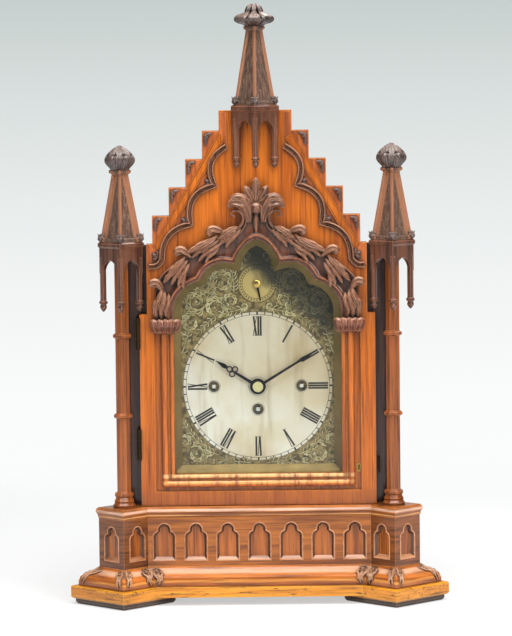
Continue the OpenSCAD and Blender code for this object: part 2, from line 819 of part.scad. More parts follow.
// Hood over the arch, with its leaf crockets and the palmette at its point
hood_foot = [opening_half + 23, spring_z];
hood_bend = [opening_half + 4, spring_z + 68];
hood_neck = [30, spring_z + 113];
palmette_z = spring_z + 143;
crockets = [[opening_half + 20, spring_z + 22, -8], [opening_half + 6, spring_z + 66, 38],
    [opening_half - 40, spring_z + 92, 62]];
module hood_mould() {
    outer = concat([hood_foot], arc(hood_foot + [-2, 26], hood_bend, -5),
        skip(arc(hood_bend, hood_neck, 2)), skip(arc(hood_neck, [9, palmette_z - 6], 5)));
    inner = [for (i = [1:len(arch_right) - 1]) arch_right[i]];
    color(dark_oak) {
        facing(door_y - 6, door_y) both() difference() {
            polygon(concat(outer, [[0, palmette_z - 6]], reversed(inner)));
            polygon(opening);
        }
        facing(door_y - 10, door_y - 6) both() {
            band(beside(arc(arch_foot, arch_cusp_low, -12), -5), 6);
            band(beside(arc(arch_cusp_low, arch_cusp_high, -10.5), -5), 6);
            band(beside(arc(arch_cusp_high, arch_apex, -6.6), -5), 6);
            for (q = crockets) translate([q.x - 5, q.y]) rotate(q[2]) {
                leaf(34, 15);
                translate([-2, 34]) circle(6);
            }
        }
        facing(door_y - 11, door_y) {
            for (turn = [-110:36.67:111]) translate([0, palmette_z - 4]) rotate(turn)
                leaf(turn == 0 ? 43 : 36, 15);
            translate([0, palmette_z - 2]) circle(9);
        }
        translate([0, door_y - 11, palmette_z]) rotate([90, 0, 0]) rotate_extrude()
            intersection() {
                circle(6);
                square(8);
            }
    }
}

// Leaf capitals on top of the jambs
module corbels() {
    h = 16;
    top = 19.5;
    color(dark_oak) for (side = [-1, 1])
        translate([side * (opening_half + 10), 0, spring_z - 17]) {
            facing(door_y - 13, door_y) polygon([[-top + 6, 0], [top - 6, 0], [top - 1, h * 0.35],
                [top, h * 0.6], [top - 1, h], [1 - top, h], [-top, h * 0.6], [1 - top, h * 0.35]]);
            facing(door_y - 16, door_y - 13) rect([4 - top, 4], [top - 4, h - 2]);
        }
}

// The centre canopy stands in front of the gable, with its ledge over the gable's top
centre_y = door_y - 6;
centre_z = gable_top + centre_rise;
module centre_canopy() {
    color(dark_oak) difference() {
        translate([0, centre_y, 0]) canopy(centre_r, gable_top, centre_rise, 12, 74.5);
        block([-50, door_y, gable_top - 100], [50, door_y + 60, gable_top]);
    }
}
module centre_spire() {
    color(grey_oak) translate([0, centre_y, 0]) {
        translate([0, 0, centre_z + 5]) spire(25.7, 10.8, centre_spire_h + 3, 13.7);
        translate([0, 0, centre_z + 8 + centre_spire_h]) rotate_extrude()
            polygon([[0, 5], [9, 5], [11, 8], [22, 11], [24.7, 13], [22, 16], [15, 18], [10, 20],
                [8, 25], [5, 32], [0, 34]]);
    }
}

module door_glass() {
    color(clear_glass) facing(pocket_y, pocket_y + glass_t) glass_pocket(fret_clear);
}

// Strip that holds the glass in the door
module glazing_bead() {
    color(oak) facing(pocket_y + glass_t, door_back - 0.3) difference() {
        glass_pocket(fret_clear);
        rect([-opening_half - 1, opening_z - 1], [opening_half + 1, spring_z + arch_rise + 1]);
    }
}

// Lock case let into the back of the door, and the rim of its keyhole
module door_lock() {
    x0 = keyhole.x - 10 + fret_clear;
    x1 = keyhole.x - 10 + lock_w - fret_clear;
    color(brass) {
        difference() {
            facing(door_back - lock_t, door_back) rect([x0, keyhole.y - lock_h / 2 + fret_clear],
                [x1, keyhole.y + lock_h / 2 - fret_clear]);
            facing(door_back - lock_t + 1.5, door_back - lock_t + 2 + bolt_t)
                rect([x0 + 3, keyhole.y - bolt_h / 2 - 0.25], [x1 + 1, keyhole.y + bolt_h / 2 + 0.25]);
        }
        facing(door_y + sunk - 0.8, door_y + sunk) translate(keyhole) difference() {
            union() {
                circle(3.4);
                rect([-2.2, -7.5], [2.2, 0]);
            }
            circle(1.9);
            rect([-0.9, -5.5], [0.9, 0]);
        }
    }
}
module lock_bolt() {
    y0 = door_back - lock_t + 1.75;
    color(steel) facing(y0, y0 + bolt_t)
        rect([keyhole.x - 4, keyhole.y - bolt_h / 2], [door_half - 0.8, keyhole.y + bolt_h / 2]);
}

// Butt hinges: three knuckles on one pin, the middle one on the moving leaf
knuckle_r = 3;
pin_r = 1.2;
hinge_h = 40;
door_hinge_z = [door_z + 60, door_z + 205];
back_hinge_z = [back_z0 + 40, back_z1 - 40 - hinge_h];
back_hinge_x = -case_in;
back_hinge_y = case_back + knuckle_r + 0.5;
hinge_third = hinge_h / 3;
module fixed_knuckles() {
    cylinder(h = hinge_third, r = knuckle_r);
    translate([0, 0, 2 * hinge_third]) cylinder(h = hinge_third, r = knuckle_r);
    cylinder(h = hinge_h, r = pin_r);
}
module moving_knuckle() {
    difference() {
        translate([0, 0, hinge_third + 0.3]) cylinder(h = hinge_third - 0.6, r = knuckle_r);
        cylinder(h = hinge_h, r = pin_r + running);
    }
}
module door_hinges() {
    color(brass) for (z = door_hinge_z) translate([hinge_x, hinge_y, z]) {
        moving_knuckle();
        block([pin_r + running + 0.2, 0, hinge_third + 0.3], [2, door_t - 4, 2 * hinge_third - 0.3]);
    }
}
module back_hinges() {
    color(brass) for (z = back_hinge_z) translate([back_hinge_x, back_hinge_y, z]) {
        moving_knuckle();
        block([back_gap + 0.1, -knuckle_r - 0.5, hinge_third + 0.3],
            [side_t, -2, 2 * hinge_third - 0.3]);
    }
}

// Hinge straps on the case and the keepers for the lock's bolt and the back door's catch
module case_hinges() {
    bolt_y = door_back - lock_t + 1.75;
    color(brass) {
        for (z = door_hinge_z) translate([hinge_x, hinge_y, z]) {
            fixed_knuckles();
            for (z0 = [0, 2 * hinge_third])
                block([-2.5, 0, z0], [0.5, frame_y - hinge_y, z0 + hinge_third]);
        }
        for (z = back_hinge_z) translate([back_hinge_x, back_hinge_y, z]) {
            fixed_knuckles();
            for (z0 = [0, 2 * hinge_third])
                block([1 - side_t, -knuckle_r - 0.5, z0], [-0.5, -2, z0 + hinge_third]);
        }
        block([case_in - 7, case_back - back_door_t - catch_keeper_t - 0.3, catch_pos.y - 8],
            [case_in, case_back - back_door_t - 0.3, catch_pos.y + 8]);
        difference() {
            facing(bolt_y - 3, frame_y) rect([door_half + 2.5, keyhole.y - 10],
                [door_half + 5.5, keyhole.y + 10]);
            facing(bolt_y - 0.4, bolt_y + bolt_t + 0.4) rect([door_half, keyhole.y - bolt_h / 2 - 0.5],
                [door_half + 9, keyhole.y + bolt_h / 2 + 0.5]);
        }
    }
}

// Sloping gilt surround between the glass and the dial
module dial_surround() {
    y0 = frame_y + 0.2;
    y1 = dial_y - fret_clear;
    loops = [[-glass_in + 0.4, y0], [-1, y0], [surround_w, y1 - 1.5], [surround_w, y1],
        [-glass_in + 0.4, y1]];
    n = len(opening);
    m = len(loops);
    color(gilt) polyhedron(
        points = [for (q = loops) for (v = inset(opening, q[0])) [v.x, q[1], v.y]],
        faces = [for (j = [0:m - 1], i = [0:n - 1], k = [0, 1]) let (
            a = j * n + i, b = j * n + (i + 1) % n,
            c = ((j + 1) % m) * n + i, d = ((j + 1) % m) * n + (i + 1) % n)
            k == 0 ? [a, c, b] : [b, c, d]]);
}

// Dial plate with the holes for the hands and for winding, on four feet
small_dial_z = dial_z + small_dial_h;
hand_bore = 5.2;
small_bore = 2.5;
module dial_plate() {
    color(silvered) {
        difference() {
            facing(dial_y, dial_y + dial_t) polygon(inset(opening, 0.8 - glass_in));
            for (q = fusee_pos) translate([q.x, dial_y - 1, q.y]) rotate([-90, 0, 0])
                cylinder(h = dial_t + 2, r = wind_hole_r);
            translate([0, dial_y - 1, dial_z]) rotate([-90, 0, 0])
                cylinder(h = dial_t + 2, r = hand_bore);
            translate([0, dial_y - 1, small_dial_z]) rotate([-90, 0, 0])
                cylinder(h = dial_t + 2, r = small_bore);
        }
        for (x = [-1, 1], z = [plate_bottom + 16, plate_top - 24]) translate([x * 76, dial_y + dial_t, z])
            rotate([-90, 0, 0]) cylinder(h = plate_y - dial_y - dial_t, r = 3);
    }
}

// Running depths of the pipes and wheels between the dial and the front plate
cannon_r = 2.8;
hour_pipe_r = 4.4;
hour_hand_y = dial_y - 4;
minute_hand_y = dial_y - 7.5;
hand_t = 1.2;

// Hands are drawn pointing up and turned clockwise to ten past ten
hour_angle = 302;
minute_angle = 58.6;
silent_angle = 168;
module hour_hand() {
    ring = 4.1;
    place = 37;
    rings = [[-ring * 0.9, place], [ring * 0.9, place], [0, place + ring * 1.55]];
    color(blued) translate([0, 0, dial_z]) rotate([0, hour_angle, 0])
        facing(hour_hand_y - hand_t, hour_hand_y) difference() {
            union() {
                circle(10.4);
                polygon([[-2.2, 8], [2.2, 8], [1.5, place], [-1.5, place]]);
                for (q = rings) translate(q) circle(ring);
                polygon([[-1.8, place + 10], [1.8, place + 10], [3, place + 15], [0, hour_l],
                    [-3, place + 15]]);
            }
            circle(hour_pipe_r);
            for (q = rings) translate(q) circle(ring - 1.5);
        }
}
module minute_hand() {
    color(blued) translate([0, 0, dial_z]) rotate([0, minute_angle, 0])
        facing(minute_hand_y - hand_t, minute_hand_y) difference() {
            union() {
                circle(7);
                polygon([[-1.8, 6], [1.8, 6], [1.4, minute_l - 30], [2.6, minute_l - 24],
                    [0, minute_l], [-2.6, minute_l - 24], [-1.4, minute_l - 30]]);
            }
            circle(cannon_r);
        }
}
module silent_hand() {
    color(blued) translate([0, 0, small_dial_z]) rotate([0, silent_angle, 0]) {
        facing(dial_y - 3.2, dial_y - 2.2)
            polygon([[-1.4, 0], [-0.8, 21], [0, 23], [0.8, 21], [1.4, 0]]);
        facing(dial_y - 4, dial_y - 0.6) circle(4.2);
        facing(dial_y - 1, plate_y - 6) circle(small_bore - running);
        facing(plate_y - 8, plate_y - 6) rect([-3.5, -3.5], [3.5, 22]);
    }
}

// Stub involute teeth, eight points to a tooth
pressure = 25;
function inv(a) = tan(a) * 180 / PI - a;
tooth_share = 0.85;
function tooth_half(n, r, q) = 90 / n * tooth_share + inv(pressure)
    - (q > r * cos(pressure) ? inv(acos(r * cos(pressure) / q)) : 0);
function gear(n, r) = let (
    m = 2 * r / n, root = r - 0.8 * m, tip = r + 0.6 * m,
    low = max(root + 0.05 * m, r * cos(pressure)), q = [root, low, r, tip])
    [for (k = [0:n - 1], j = [0:7]) let (
        i = j < 4 ? j : 7 - j, a = 360 * k / n + (j < 4 ? -1 : 1) * tooth_half(n, r, q[i]))
        q[i] * [cos(a), sin(a)]];
module gear_at(y, t, n, r, turn) {
    facing(y, y + t) rotate(turn) polygon(gear(n, r));
}

// A round shaft along Y
module shaft(y0, y1, r) {
    translate([0, y0, 0]) rotate([-90, 0, 0]) cylinder(h = y1 - y0, r = r);
}

// Teeth of the trains: each wheel drives the pinion after it
great_n = 96;
centre_pinion_n = 8;
centre_n = 84;
third_pinion_n = 7;
third_n = 78;
escape_pinion_n = 7;
cannon_n = 20;
minute_n = 60;
motion_pinion_n = 18;
hour_n = 72;
function wheel_r(a, n, p) = a * n / (n + p);
centre_arbor_r = 0.76 * wheel_r(great_a, centre_pinion_n, great_n);
great_y = gap_y + 4;
centre_wheel_y = gap_y + 51;
third_wheel_y = gap_y + 43;
escape_wheel_y = gap_y + 56;
pillar_pos = [for (x = [-1, 1]) each [[x * (plate_half - 8), plate_bottom + 8],
    [x * 60, plate_top - 8], [x * 33, going_z - 27]]];
hammer_lift = 28;
hammer_pivots = [[-quarter_bell_x - quarter_bell_r - 6, plate_top - hammer_lift],
    [quarter_bell_x + quarter_bell_r + 6, plate_top - hammer_lift],
    [-hour_bell_r - 5, plate_top - hammer_lift]];

module movement_frame() {
    color(brass) {
        for (y = [plate_y, back_plate_y]) difference() {
            facing(y, y + plate_t) rect([-plate_half, plate_bottom], [plate_half, plate_top]);
            for (q = fusee_pos) translate([q.x, 0, q.y]) shaft(y - 1, y + plate_t + 1, 3 + running);
            for (q = barrel_pos) translate([q.x, 0, q.y])
                shaft(y - 1, y + plate_t + 1, 2 + running);
            translate([0, 0, dial_z]) shaft(y - 1, y + plate_t + 1, centre_arbor_r + running);
            for (q = concat([[0, third_z], [0, escape_z], [0, pallet_z]], hammer_pivots))
                translate([q.x, 0, q.y]) shaft(y - 1, y + plate_t + 1, pivot_r + running);
        }
        for (q = pillar_pos) translate([q.x, 0, q.y]) {
            shaft(gap_y, back_plate_y, 4);
            for (y = [gap_y, back_plate_y - 4]) shaft(y, y + 4, 5.5);
        }
        translate([motion_pos.x, 0, motion_pos.y]) shaft(dial_y + 4, plate_y, 1.2);
        back_cock();
    }
}

// Bracket that hangs the pendulum behind the back plate
module back_cock() {
    reach = 6.5;
    difference() {
        union() {
            block([-13, back_plate_back, pallet_z + 5], [13, pendulum_y + reach, plate_top]);
            for (y = [pendulum_y - reach, pendulum_y + 4])
                block([-5, y, pallet_z - 4], [5, y + 2.5, pallet_z + 5.5]);
        }
        translate([0, 0, pallet_z]) shaft(pendulum_y - 10, pendulum_y + 10, 1.5 + running);
    }
}

// Grooved fusee with its great wheel and its winding square
module fusee(turn) {
    grooves = 9;
    pitch = 3.4;
    y0 = great_y + 4;
    gear_at(great_y, 3.5, great_n, wheel_r(great_a, great_n, centre_pinion_n), turn);
    shaft(dial_y + 6, back_plate_back, 3);
    facing(dial_y + 1, dial_y + 7) rect([-2.1, -2.1], [2.1, 2.1]);
    translate([0, y0 - 1, 0]) rotate([-90, 0, 0]) rotate_extrude() polygon(concat([[0, 0], [25, 0],
        [25, 1]], [for (i = [0:grooves - 1], j = [0, 1]) [
            12 + 11 * pow(1 - i / grooves, 1.6) - j * 1.3, 1 + (i + j / 2) * pitch]],
        [[13, 1 + grooves * pitch], [13, 3 + grooves * pitch], [0, 3 + grooves * pitch]]));
}
module going_fusee() {
    color(brass) translate([fusee_pos[0].x, 0, fusee_pos[0].y]) fusee(90);
}
module strike_fusee() {
    color(brass) translate([fusee_pos[1].x, 0, fusee_pos[1].y]) fusee(0);
}
module chime_fusee() {
    color(brass) translate([fusee_pos[2].x, 0, fusee_pos[2].y]) fusee(0);
}

// Spring barrel between the plates
module barrel() {
    shaft(plate_y, back_plate_back, 2);
    shaft(gap_y + 5, gap_y + 47, barrel_r - 1);
    for (y = [gap_y + 5, gap_y + 45]) shaft(y, y + 2, barrel_r);
    shaft(gap_y + 1, gap_y + 5, 5);
}
module going_barrel() {
    color(brass) translate([barrel_pos[0].x, 0, barrel_pos[0].y]) barrel();
}
module strike_barrel() {
    color(brass) translate([barrel_pos[1].x, 0, barrel_pos[1].y]) barrel();
}
module chime_barrel() {
    color(brass) translate([barrel_pos[2].x, 0, barrel_pos[2].y]) barrel();
}

// Spoked wheel with an involute rim
module wheel_at(y, t, n, r, turn) {
    spokes = 5;
    rim = r - 3.2;
    facing(y, y + t) difference() {
        rotate(turn) polygon(gear(n, r));
        if (rim > 9) difference() {
            circle(rim);
            circle(4.5);
            for (i = [0:spokes - 1]) rotate(i * 360 / spokes) rect([-1.2, 0], [1.2, rim + 1]);
        }
    }
}

// Arbor of the minute hand: its collet, cannon wheel, pinion and centre wheel
module centre_arbor() {
    tip_y = minute_hand_y - hand_t;
    color(brass) translate([0, 0, dial_z]) {
        shaft(tip_y - 2.2, tip_y, 6.8);
        shaft(tip_y - 1, plate_y - 4, cannon_r);
        shaft(plate_y - 5, back_plate_back, centre_arbor_r);
        wheel_at(plate_y - 6, 2, cannon_n, wheel_r(motion_a, cannon_n, minute_n), motion_angle);
        gear_at(great_y - 1, 5.5, centre_pinion_n, wheel_r(great_a, centre_pinion_n, great_n),
            -90 + 180 / centre_pinion_n);
        wheel_at(centre_wheel_y, 2, centre_n, wheel_r(centre_a, centre_n, third_pinion_n), 90);
    }
}
module third_arbor() {
    color(brass) translate([0, 0, third_z]) {
        shaft(plate_y, back_plate_back, pivot_r);
        shaft(gap_y + 0.5, centre_wheel_y - 1, 1.6);
        gear_at(centre_wheel_y - 1.5, 5, third_pinion_n, wheel_r(centre_a, third_pinion_n, centre_n),
            -90 + 180 / third_pinion_n);
        wheel_at(third_wheel_y, 2, third_n, wheel_r(third_a, third_n, escape_pinion_n), 90);
    }
}

// Escape wheel of thirty pointed teeth
escape_n = 30;
module escape_arbor() {
    color(brass) translate([0, 0, escape_z]) {
        shaft(plate_y, back_plate_back, pivot_r);
        shaft(third_wheel_y + 3, back_plate_y - 0.5, 1.5);
        gear_at(third_wheel_y - 1.5, 5, escape_pinion_n, wheel_r(third_a, escape_pinion_n, third_n),
            -90 + 180 / escape_pinion_n);
        facing(escape_wheel_y, escape_wheel_y + 2) difference() {
            polygon([for (i = [0:escape_n - 1], j = [0, 1]) let (a = 360 * (i + j * 0.35) / escape_n)
                (j == 0 ? escape_r : escape_r - 3.5) * [cos(a), sin(a)]]);
            difference() {
                circle(escape_r - 5);
                circle(4);
                for (i = [0:4]) rotate(i * 72) rect([-1, 0], [1, escape_r - 4]);
            }
        }
    }
}

// Anchor with its two pallets, and the crutch that drives the pendulum
crutch_l = 52;
pallet_clear = 0.4;
module pallet_arbor() {
    lift = pallet_clear + escape_r * sin(swing);
    tip = (escape_r + lift) * [sin(45), cos(45)] - [0, pallet_z - escape_z];
    color(steel) translate([0, 0, pallet_z]) {
        shaft(plate_y, back_plate_back + 5, pivot_r);
        shaft(gap_y + 0.5, back_plate_y - 0.3, 1.6);
        facing(escape_wheel_y - 1, escape_wheel_y + 3)
            polygon(concat([[0, 4], [17, -4], [17.5, -8], tip, [13.5, -6.5], [0, -2.5]],
                [[-13.5, -6.5], [-tip.x, tip.y], [-17.5, -8], [-17, -4]]));
        facing(back_plate_back + 2, back_plate_back + 5) {
            circle(3.5);
            rect([-1.3, -crutch_l - 2], [1.3, 0]);
        }
        translate([0, 0, -crutch_l]) shaft(back_plate_back + 3, pendulum_y + 3, 1.4);
    }
}

// Pendulum on its pivot pin, with the eye that the crutch passes through
module pendulum() {
    color(brass) translate([0, 0, pallet_z]) {
        shaft(pendulum_y - 6.4, pendulum_y + 6.4, 1.5);
        facing(pendulum_y - 3, pendulum_y + 3) rect([-3, -9], [3, 2.5]);
        facing(pendulum_y - 1.5, pendulum_y + 1.5) difference() {
            union() {
                rect([-2, -pendulum_l], [2, -8]);
                translate([0, -crutch_l]) circle(5);
            }
            translate([0, -crutch_l]) circle(1.7);
        }
        translate([0, pendulum_y, -pendulum_l]) rotate([90, 0, 0]) rotate_extrude()
            polygon([[0, -6], [bob_r * 0.5, -5], [bob_r - 2, -2.4], [bob_r, -1], [bob_r, 1],
                [bob_r - 2, 2.4], [bob_r * 0.5, 5], [0, 6]]);
    }
}

// Wheel and pinion that turn the hour wheel from the cannon wheel
module motion_wheel() {
    color(brass) translate([motion_pos.x, 0, motion_pos.y]) difference() {
        union() {
            wheel_at(plate_y - 6, 2, minute_n, wheel_r(motion_a, minute_n, cannon_n),
                180 + motion_angle + 180 / minute_n);
            gear_at(plate_y - 11.5, 6, motion_pinion_n, wheel_r(motion_a, motion_pinion_n, hour_n),
                180 + motion_angle);
        }
        shaft(dial_y, plate_y, pivot_r + running);
    }
}
module hour_wheel() {
    color(brass) translate([0, 0, dial_z]) difference() {
        union() {
            wheel_at(plate_y - 10.5, 2, hour_n, wheel_r(motion_a, hour_n, motion_pinion_n),
                motion_angle + 180 / hour_n);
            shaft(hour_hand_y - hand_t - 0.4, plate_y - 8.5, hour_pipe_r);
        }
        shaft(minute_hand_y, plate_y, cannon_r + running);
    }
}

// Cast bells, mouths down, on studs over the movement
bell_bore = 2.6;
bell_wall = 1.8;
bell_pos = [[0, hour_bell_r], [-quarter_bell_x, quarter_bell_r], [quarter_bell_x, quarter_bell_r]];
function bell_line(r) = [[r, 0], [0.83 * r, 0.25 * r], [0.74 * r, 0.5 * r], [0.5 * r, 0.7 * r],
    [bell_bore, 0.76 * r]];
module bells() {
    color(brass) for (q = bell_pos) translate([q.x, bell_y, bell_z]) rotate_extrude()
        polygon(concat(bell_line(q.y), [for (v = reversed(bell_line(q.y)))
            v.y == 0 ? [v.x - bell_wall, 0] : [v.x == bell_bore ? bell_bore : v.x - bell_wall * 0.8,
                v.y - bell_wall]]));
}
module bell_stand() {
    bar_z = plate_top + 4;
    color(steel) {
        for (x = [-50, 50])
            block([x - 5, plate_y, plate_top], [x + 5, back_plate_back, bar_z]);
        block([-quarter_bell_x - 5, bell_y - 4, bar_z], [quarter_bell_x + 5, bell_y + 4, bar_z + 4]);
        for (q = bell_pos) translate([q.x, bell_y, 0]) {
            crown = bell_z + 0.76 * q.y;
            translate([0, 0, bar_z + 2]) cylinder(h = crown - bar_z, r = bell_bore);
            translate([0, 0, bar_z + 2]) cylinder(h = crown - bar_z - 2 - bell_wall - 1.5, r = 4);
            translate([0, 0, crown]) cylinder(h = 3, r = 4.5, $fn = 6);
        }
    }
}

// Hammer on an arbor between the plates; side is the way from its arm to the bell
module hammer(pivot, reach, side) {
    arm_y = bell_y + 8;
    rise = bell_z - pivot.y + 3.5;
    color(steel) translate([pivot.x, 0, pivot.y]) {
        shaft(plate_y, back_plate_back, pivot_r);
        shaft(gap_y + 0.3, back_plate_y - 0.3, 2);
        facing(arm_y - 1.5, arm_y + 1.5) rect([-1.5, 0], [1.5, rise + 2]);
        translate([0, arm_y, rise]) rotate([0, side * 90, 0]) translate([0, 0, -3])
            cylinder(h = reach + 3, r = 3);
    }
}
module hour_hammer() {
    hammer(hammer_pivots[2], 5 - hammer_gap, 1);
}
module quarter_hammer_left() {
    hammer(hammer_pivots[0], 6 - hammer_gap, 1);
}
module quarter_hammer_right() {
    hammer(hammer_pivots[1], 6 - hammer_gap, -1);
}

feet();
slab();
corner_blocks();
base_mouldings();
frieze();
plinth_frame();
pedestals();
cornice();
carcass_sides();
side_frets();
front_frame();
roof();
seatboard();
back_door();
back_door_glass();
back_door_catch();
column_left();
column_right();
canopy_left();
canopy_right();
turret_left();
turret_right();
door_board();
door_moulding();
gable_moulding();
hood_mould();
corbels();
centre_canopy();
centre_spire();
door_glass();
glazing_bead();
door_lock();
lock_bolt();
door_hinges();
back_hinges();
case_hinges();
dial_surround();
dial_plate();
hour_hand();
minute_hand();
silent_hand();
movement_frame();
going_fusee();
strike_fusee();
chime_fusee();
going_barrel();
strike_barrel();
chime_barrel();
centre_arbor();
third_arbor();
escape_arbor();
pallet_arbor();
pendulum();
motion_wheel();
hour_wheel();
bells();
bell_stand();
hour_hammer();
quarter_hammer_left();
quarter_hammer_right();
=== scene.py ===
"""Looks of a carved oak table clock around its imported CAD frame."""

from math import atan2, cos, exp, hypot, pi, radians, sin, sqrt

import bmesh
import bpy
from mathutils import Matrix, Vector


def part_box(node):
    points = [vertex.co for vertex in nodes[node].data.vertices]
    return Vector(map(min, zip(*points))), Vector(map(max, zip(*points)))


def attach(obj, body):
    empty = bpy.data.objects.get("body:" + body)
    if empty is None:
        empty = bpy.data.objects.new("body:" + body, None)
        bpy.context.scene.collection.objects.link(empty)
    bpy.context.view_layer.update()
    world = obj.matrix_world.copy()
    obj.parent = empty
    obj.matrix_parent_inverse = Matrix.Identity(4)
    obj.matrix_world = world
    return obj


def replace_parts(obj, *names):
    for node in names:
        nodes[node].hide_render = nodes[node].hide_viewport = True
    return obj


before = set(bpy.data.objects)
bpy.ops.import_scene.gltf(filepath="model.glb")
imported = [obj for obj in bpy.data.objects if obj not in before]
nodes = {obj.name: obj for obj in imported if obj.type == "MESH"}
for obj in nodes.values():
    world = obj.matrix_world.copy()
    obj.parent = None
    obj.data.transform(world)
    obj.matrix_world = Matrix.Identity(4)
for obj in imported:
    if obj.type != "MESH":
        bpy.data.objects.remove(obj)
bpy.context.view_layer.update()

# Materials, camera and lamps are in metres. Shapes are in millimetres until Shape.piece.
MM = 0.001


def box(name):
    """The lowest and the highest corner of a CAD node, in millimetres."""
    return [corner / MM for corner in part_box(name)]


FRONT = box("door_board")[0].y
DIAL = box("dial_plate")[0].y
DIAL_Z = sum(c.z for c in box("centre_arbor")) / 2
TOWER_X = sum(c.x for c in box("turret_right")) / 2
TOWER_Y = sum(c.y for c in box("turret_right")) / 2
CENTRE_Y = sum(c.y for c in box("centre_spire")) / 2
OPENING = 108.55  # half the width of the arched opening
SHOULDER_Z = box("cornice")[1].z + 341
STEP_X, STEP_Z = 21.85, 36.4  # one step of the gable
GABLE_HALF = 134.4
FORWARD = Vector((0, -1, 0))
SLANT = sqrt(0.5)


def linear(r, g, b):
    """A colour written as it shows on screen, 0 to 255, as the shader wants it."""
    def one(v):
        v = v / 255
        return v / 12.92 if v <= 0.04045 else ((v + 0.055) / 1.055) ** 2.4
    return (one(r), one(g), one(b), 1)


class Tree:
    """The node tree of one material or world."""

    def __init__(self, name, group=bpy.data.materials):
        self.owner = group.new(name)
        self.owner.use_nodes = True
        self.tree = self.owner.node_tree
        self.tree.nodes.clear()

    def add(self, kind, inputs=None, **settings):
        node = self.tree.nodes.new("ShaderNode" + kind)
        for key, value in settings.items():
            setattr(node, key, value)
        for key, value in (inputs or {}).items():
            if isinstance(value, bpy.types.NodeSocket):
                self.tree.links.new(value, node.inputs[key])
            else:
                node.inputs[key].default_value = value
        return node

    def math(self, operation, a, b=0.0, c=0.0, clamp=False):
        return self.add("Math", {0: a, 1: b, 2: c}, operation=operation, use_clamp=clamp).outputs[0]

    def times(self, a, b, clamp=False):
        return self.math("MULTIPLY", a, b, clamp=clamp)

    def plus(self, a, b):
        return self.math("ADD", a, b)

    def minus(self, a, b):
        return self.math("SUBTRACT", a, b)

    def scaled(self, a, by, plus):
        return self.math("MULTIPLY_ADD", a, by, plus)

    def size(self, a):
        return self.math("ABSOLUTE", a)

    def mix(self, factor, a, b, blend="MIX"):
        """Mixes two colours, each a socket or as linear() takes it."""
        a, b = (linear(*v) if isinstance(v, (tuple, list)) else v for v in (a, b))
        return self.add("Mix", {0: factor, 6: a, 7: b}, data_type="RGBA", blend_type=blend).outputs[2]

    def ramp(self, value, low, high):
        """0 at low and 1 at high, smooth between."""
        return self.add("MapRange", {0: value, 1: low, 2: high},
                        interpolation_type="SMOOTHSTEP").outputs[0]

    def place(self):
        return self.add("TexCoord").outputs["Object"]

    def split(self, vector):
        return self.add("SeparateXYZ", {0: vector}).outputs

    def normal(self):
        return self.add("NewGeometry").outputs["Normal"]

    def noise(self, place, scale, stretch=(1, 1, 1), detail=3.0, offset=(0, 0, 0)):
        """Noise with cells of 1 / scale metres, drawn out where stretch is small."""
        mapped = self.add("Mapping", {"Vector": place, "Scale": stretch, "Location": offset})
        return self.add("TexNoise", {"Vector": mapped.outputs[0], "Scale": scale,
                                     "Detail": detail}).outputs[0]

    def darken(self, colour, reach, share, tone, open_at=0.9, full=0.35, samples=6):
        """Colours hollows up to reach wide with tone."""
        hollow = self.add("AmbientOcclusion", {"Distance": reach}, samples=samples)
        deep = self.times(self.ramp(hollow.outputs["AO"], open_at, full), share, clamp=True)
        return self.mix(deep, colour, tone)

    def bevel(self, radius):
        return self.add("Bevel", {"Radius": radius}, samples=4).outputs[0]

    def bump(self, height, strength, distance, normal=None):
        inputs = {"Strength": strength, "Distance": distance, "Height": height}
        if normal:
            inputs["Normal"] = normal
        return self.add("Bump", inputs).outputs[0]

    def principled(self, colour, rough, normal=None, **sockets):
        """Ends in a Principled shader. A socket is named with _ where its name has a space."""
        inputs = {"Base Color": colour, "Roughness": rough}
        if normal:
            inputs["Normal"] = normal
        inputs.update({key.replace("_", " "): value for key, value in sockets.items()})
        return self.show(self.add("BsdfPrincipled", inputs))

    def blend(self, share, a, b):
        """Ends in shader a where share is 0 and in shader b where it is 1."""
        return self.show(self.add("MixShader", {0: share, 1: a.outputs[0], 2: b.outputs[0]}))

    def show(self, shader):
        world = isinstance(self.owner, bpy.types.World)
        self.add("OutputWorld" if world else "OutputMaterial", {"Surface": shader.outputs[0]})
        return self.owner


ALONG = {"x": (0.05, 0.1, 1), "y": (1, 0.05, 1), "z": (1, 1, 0.045)}


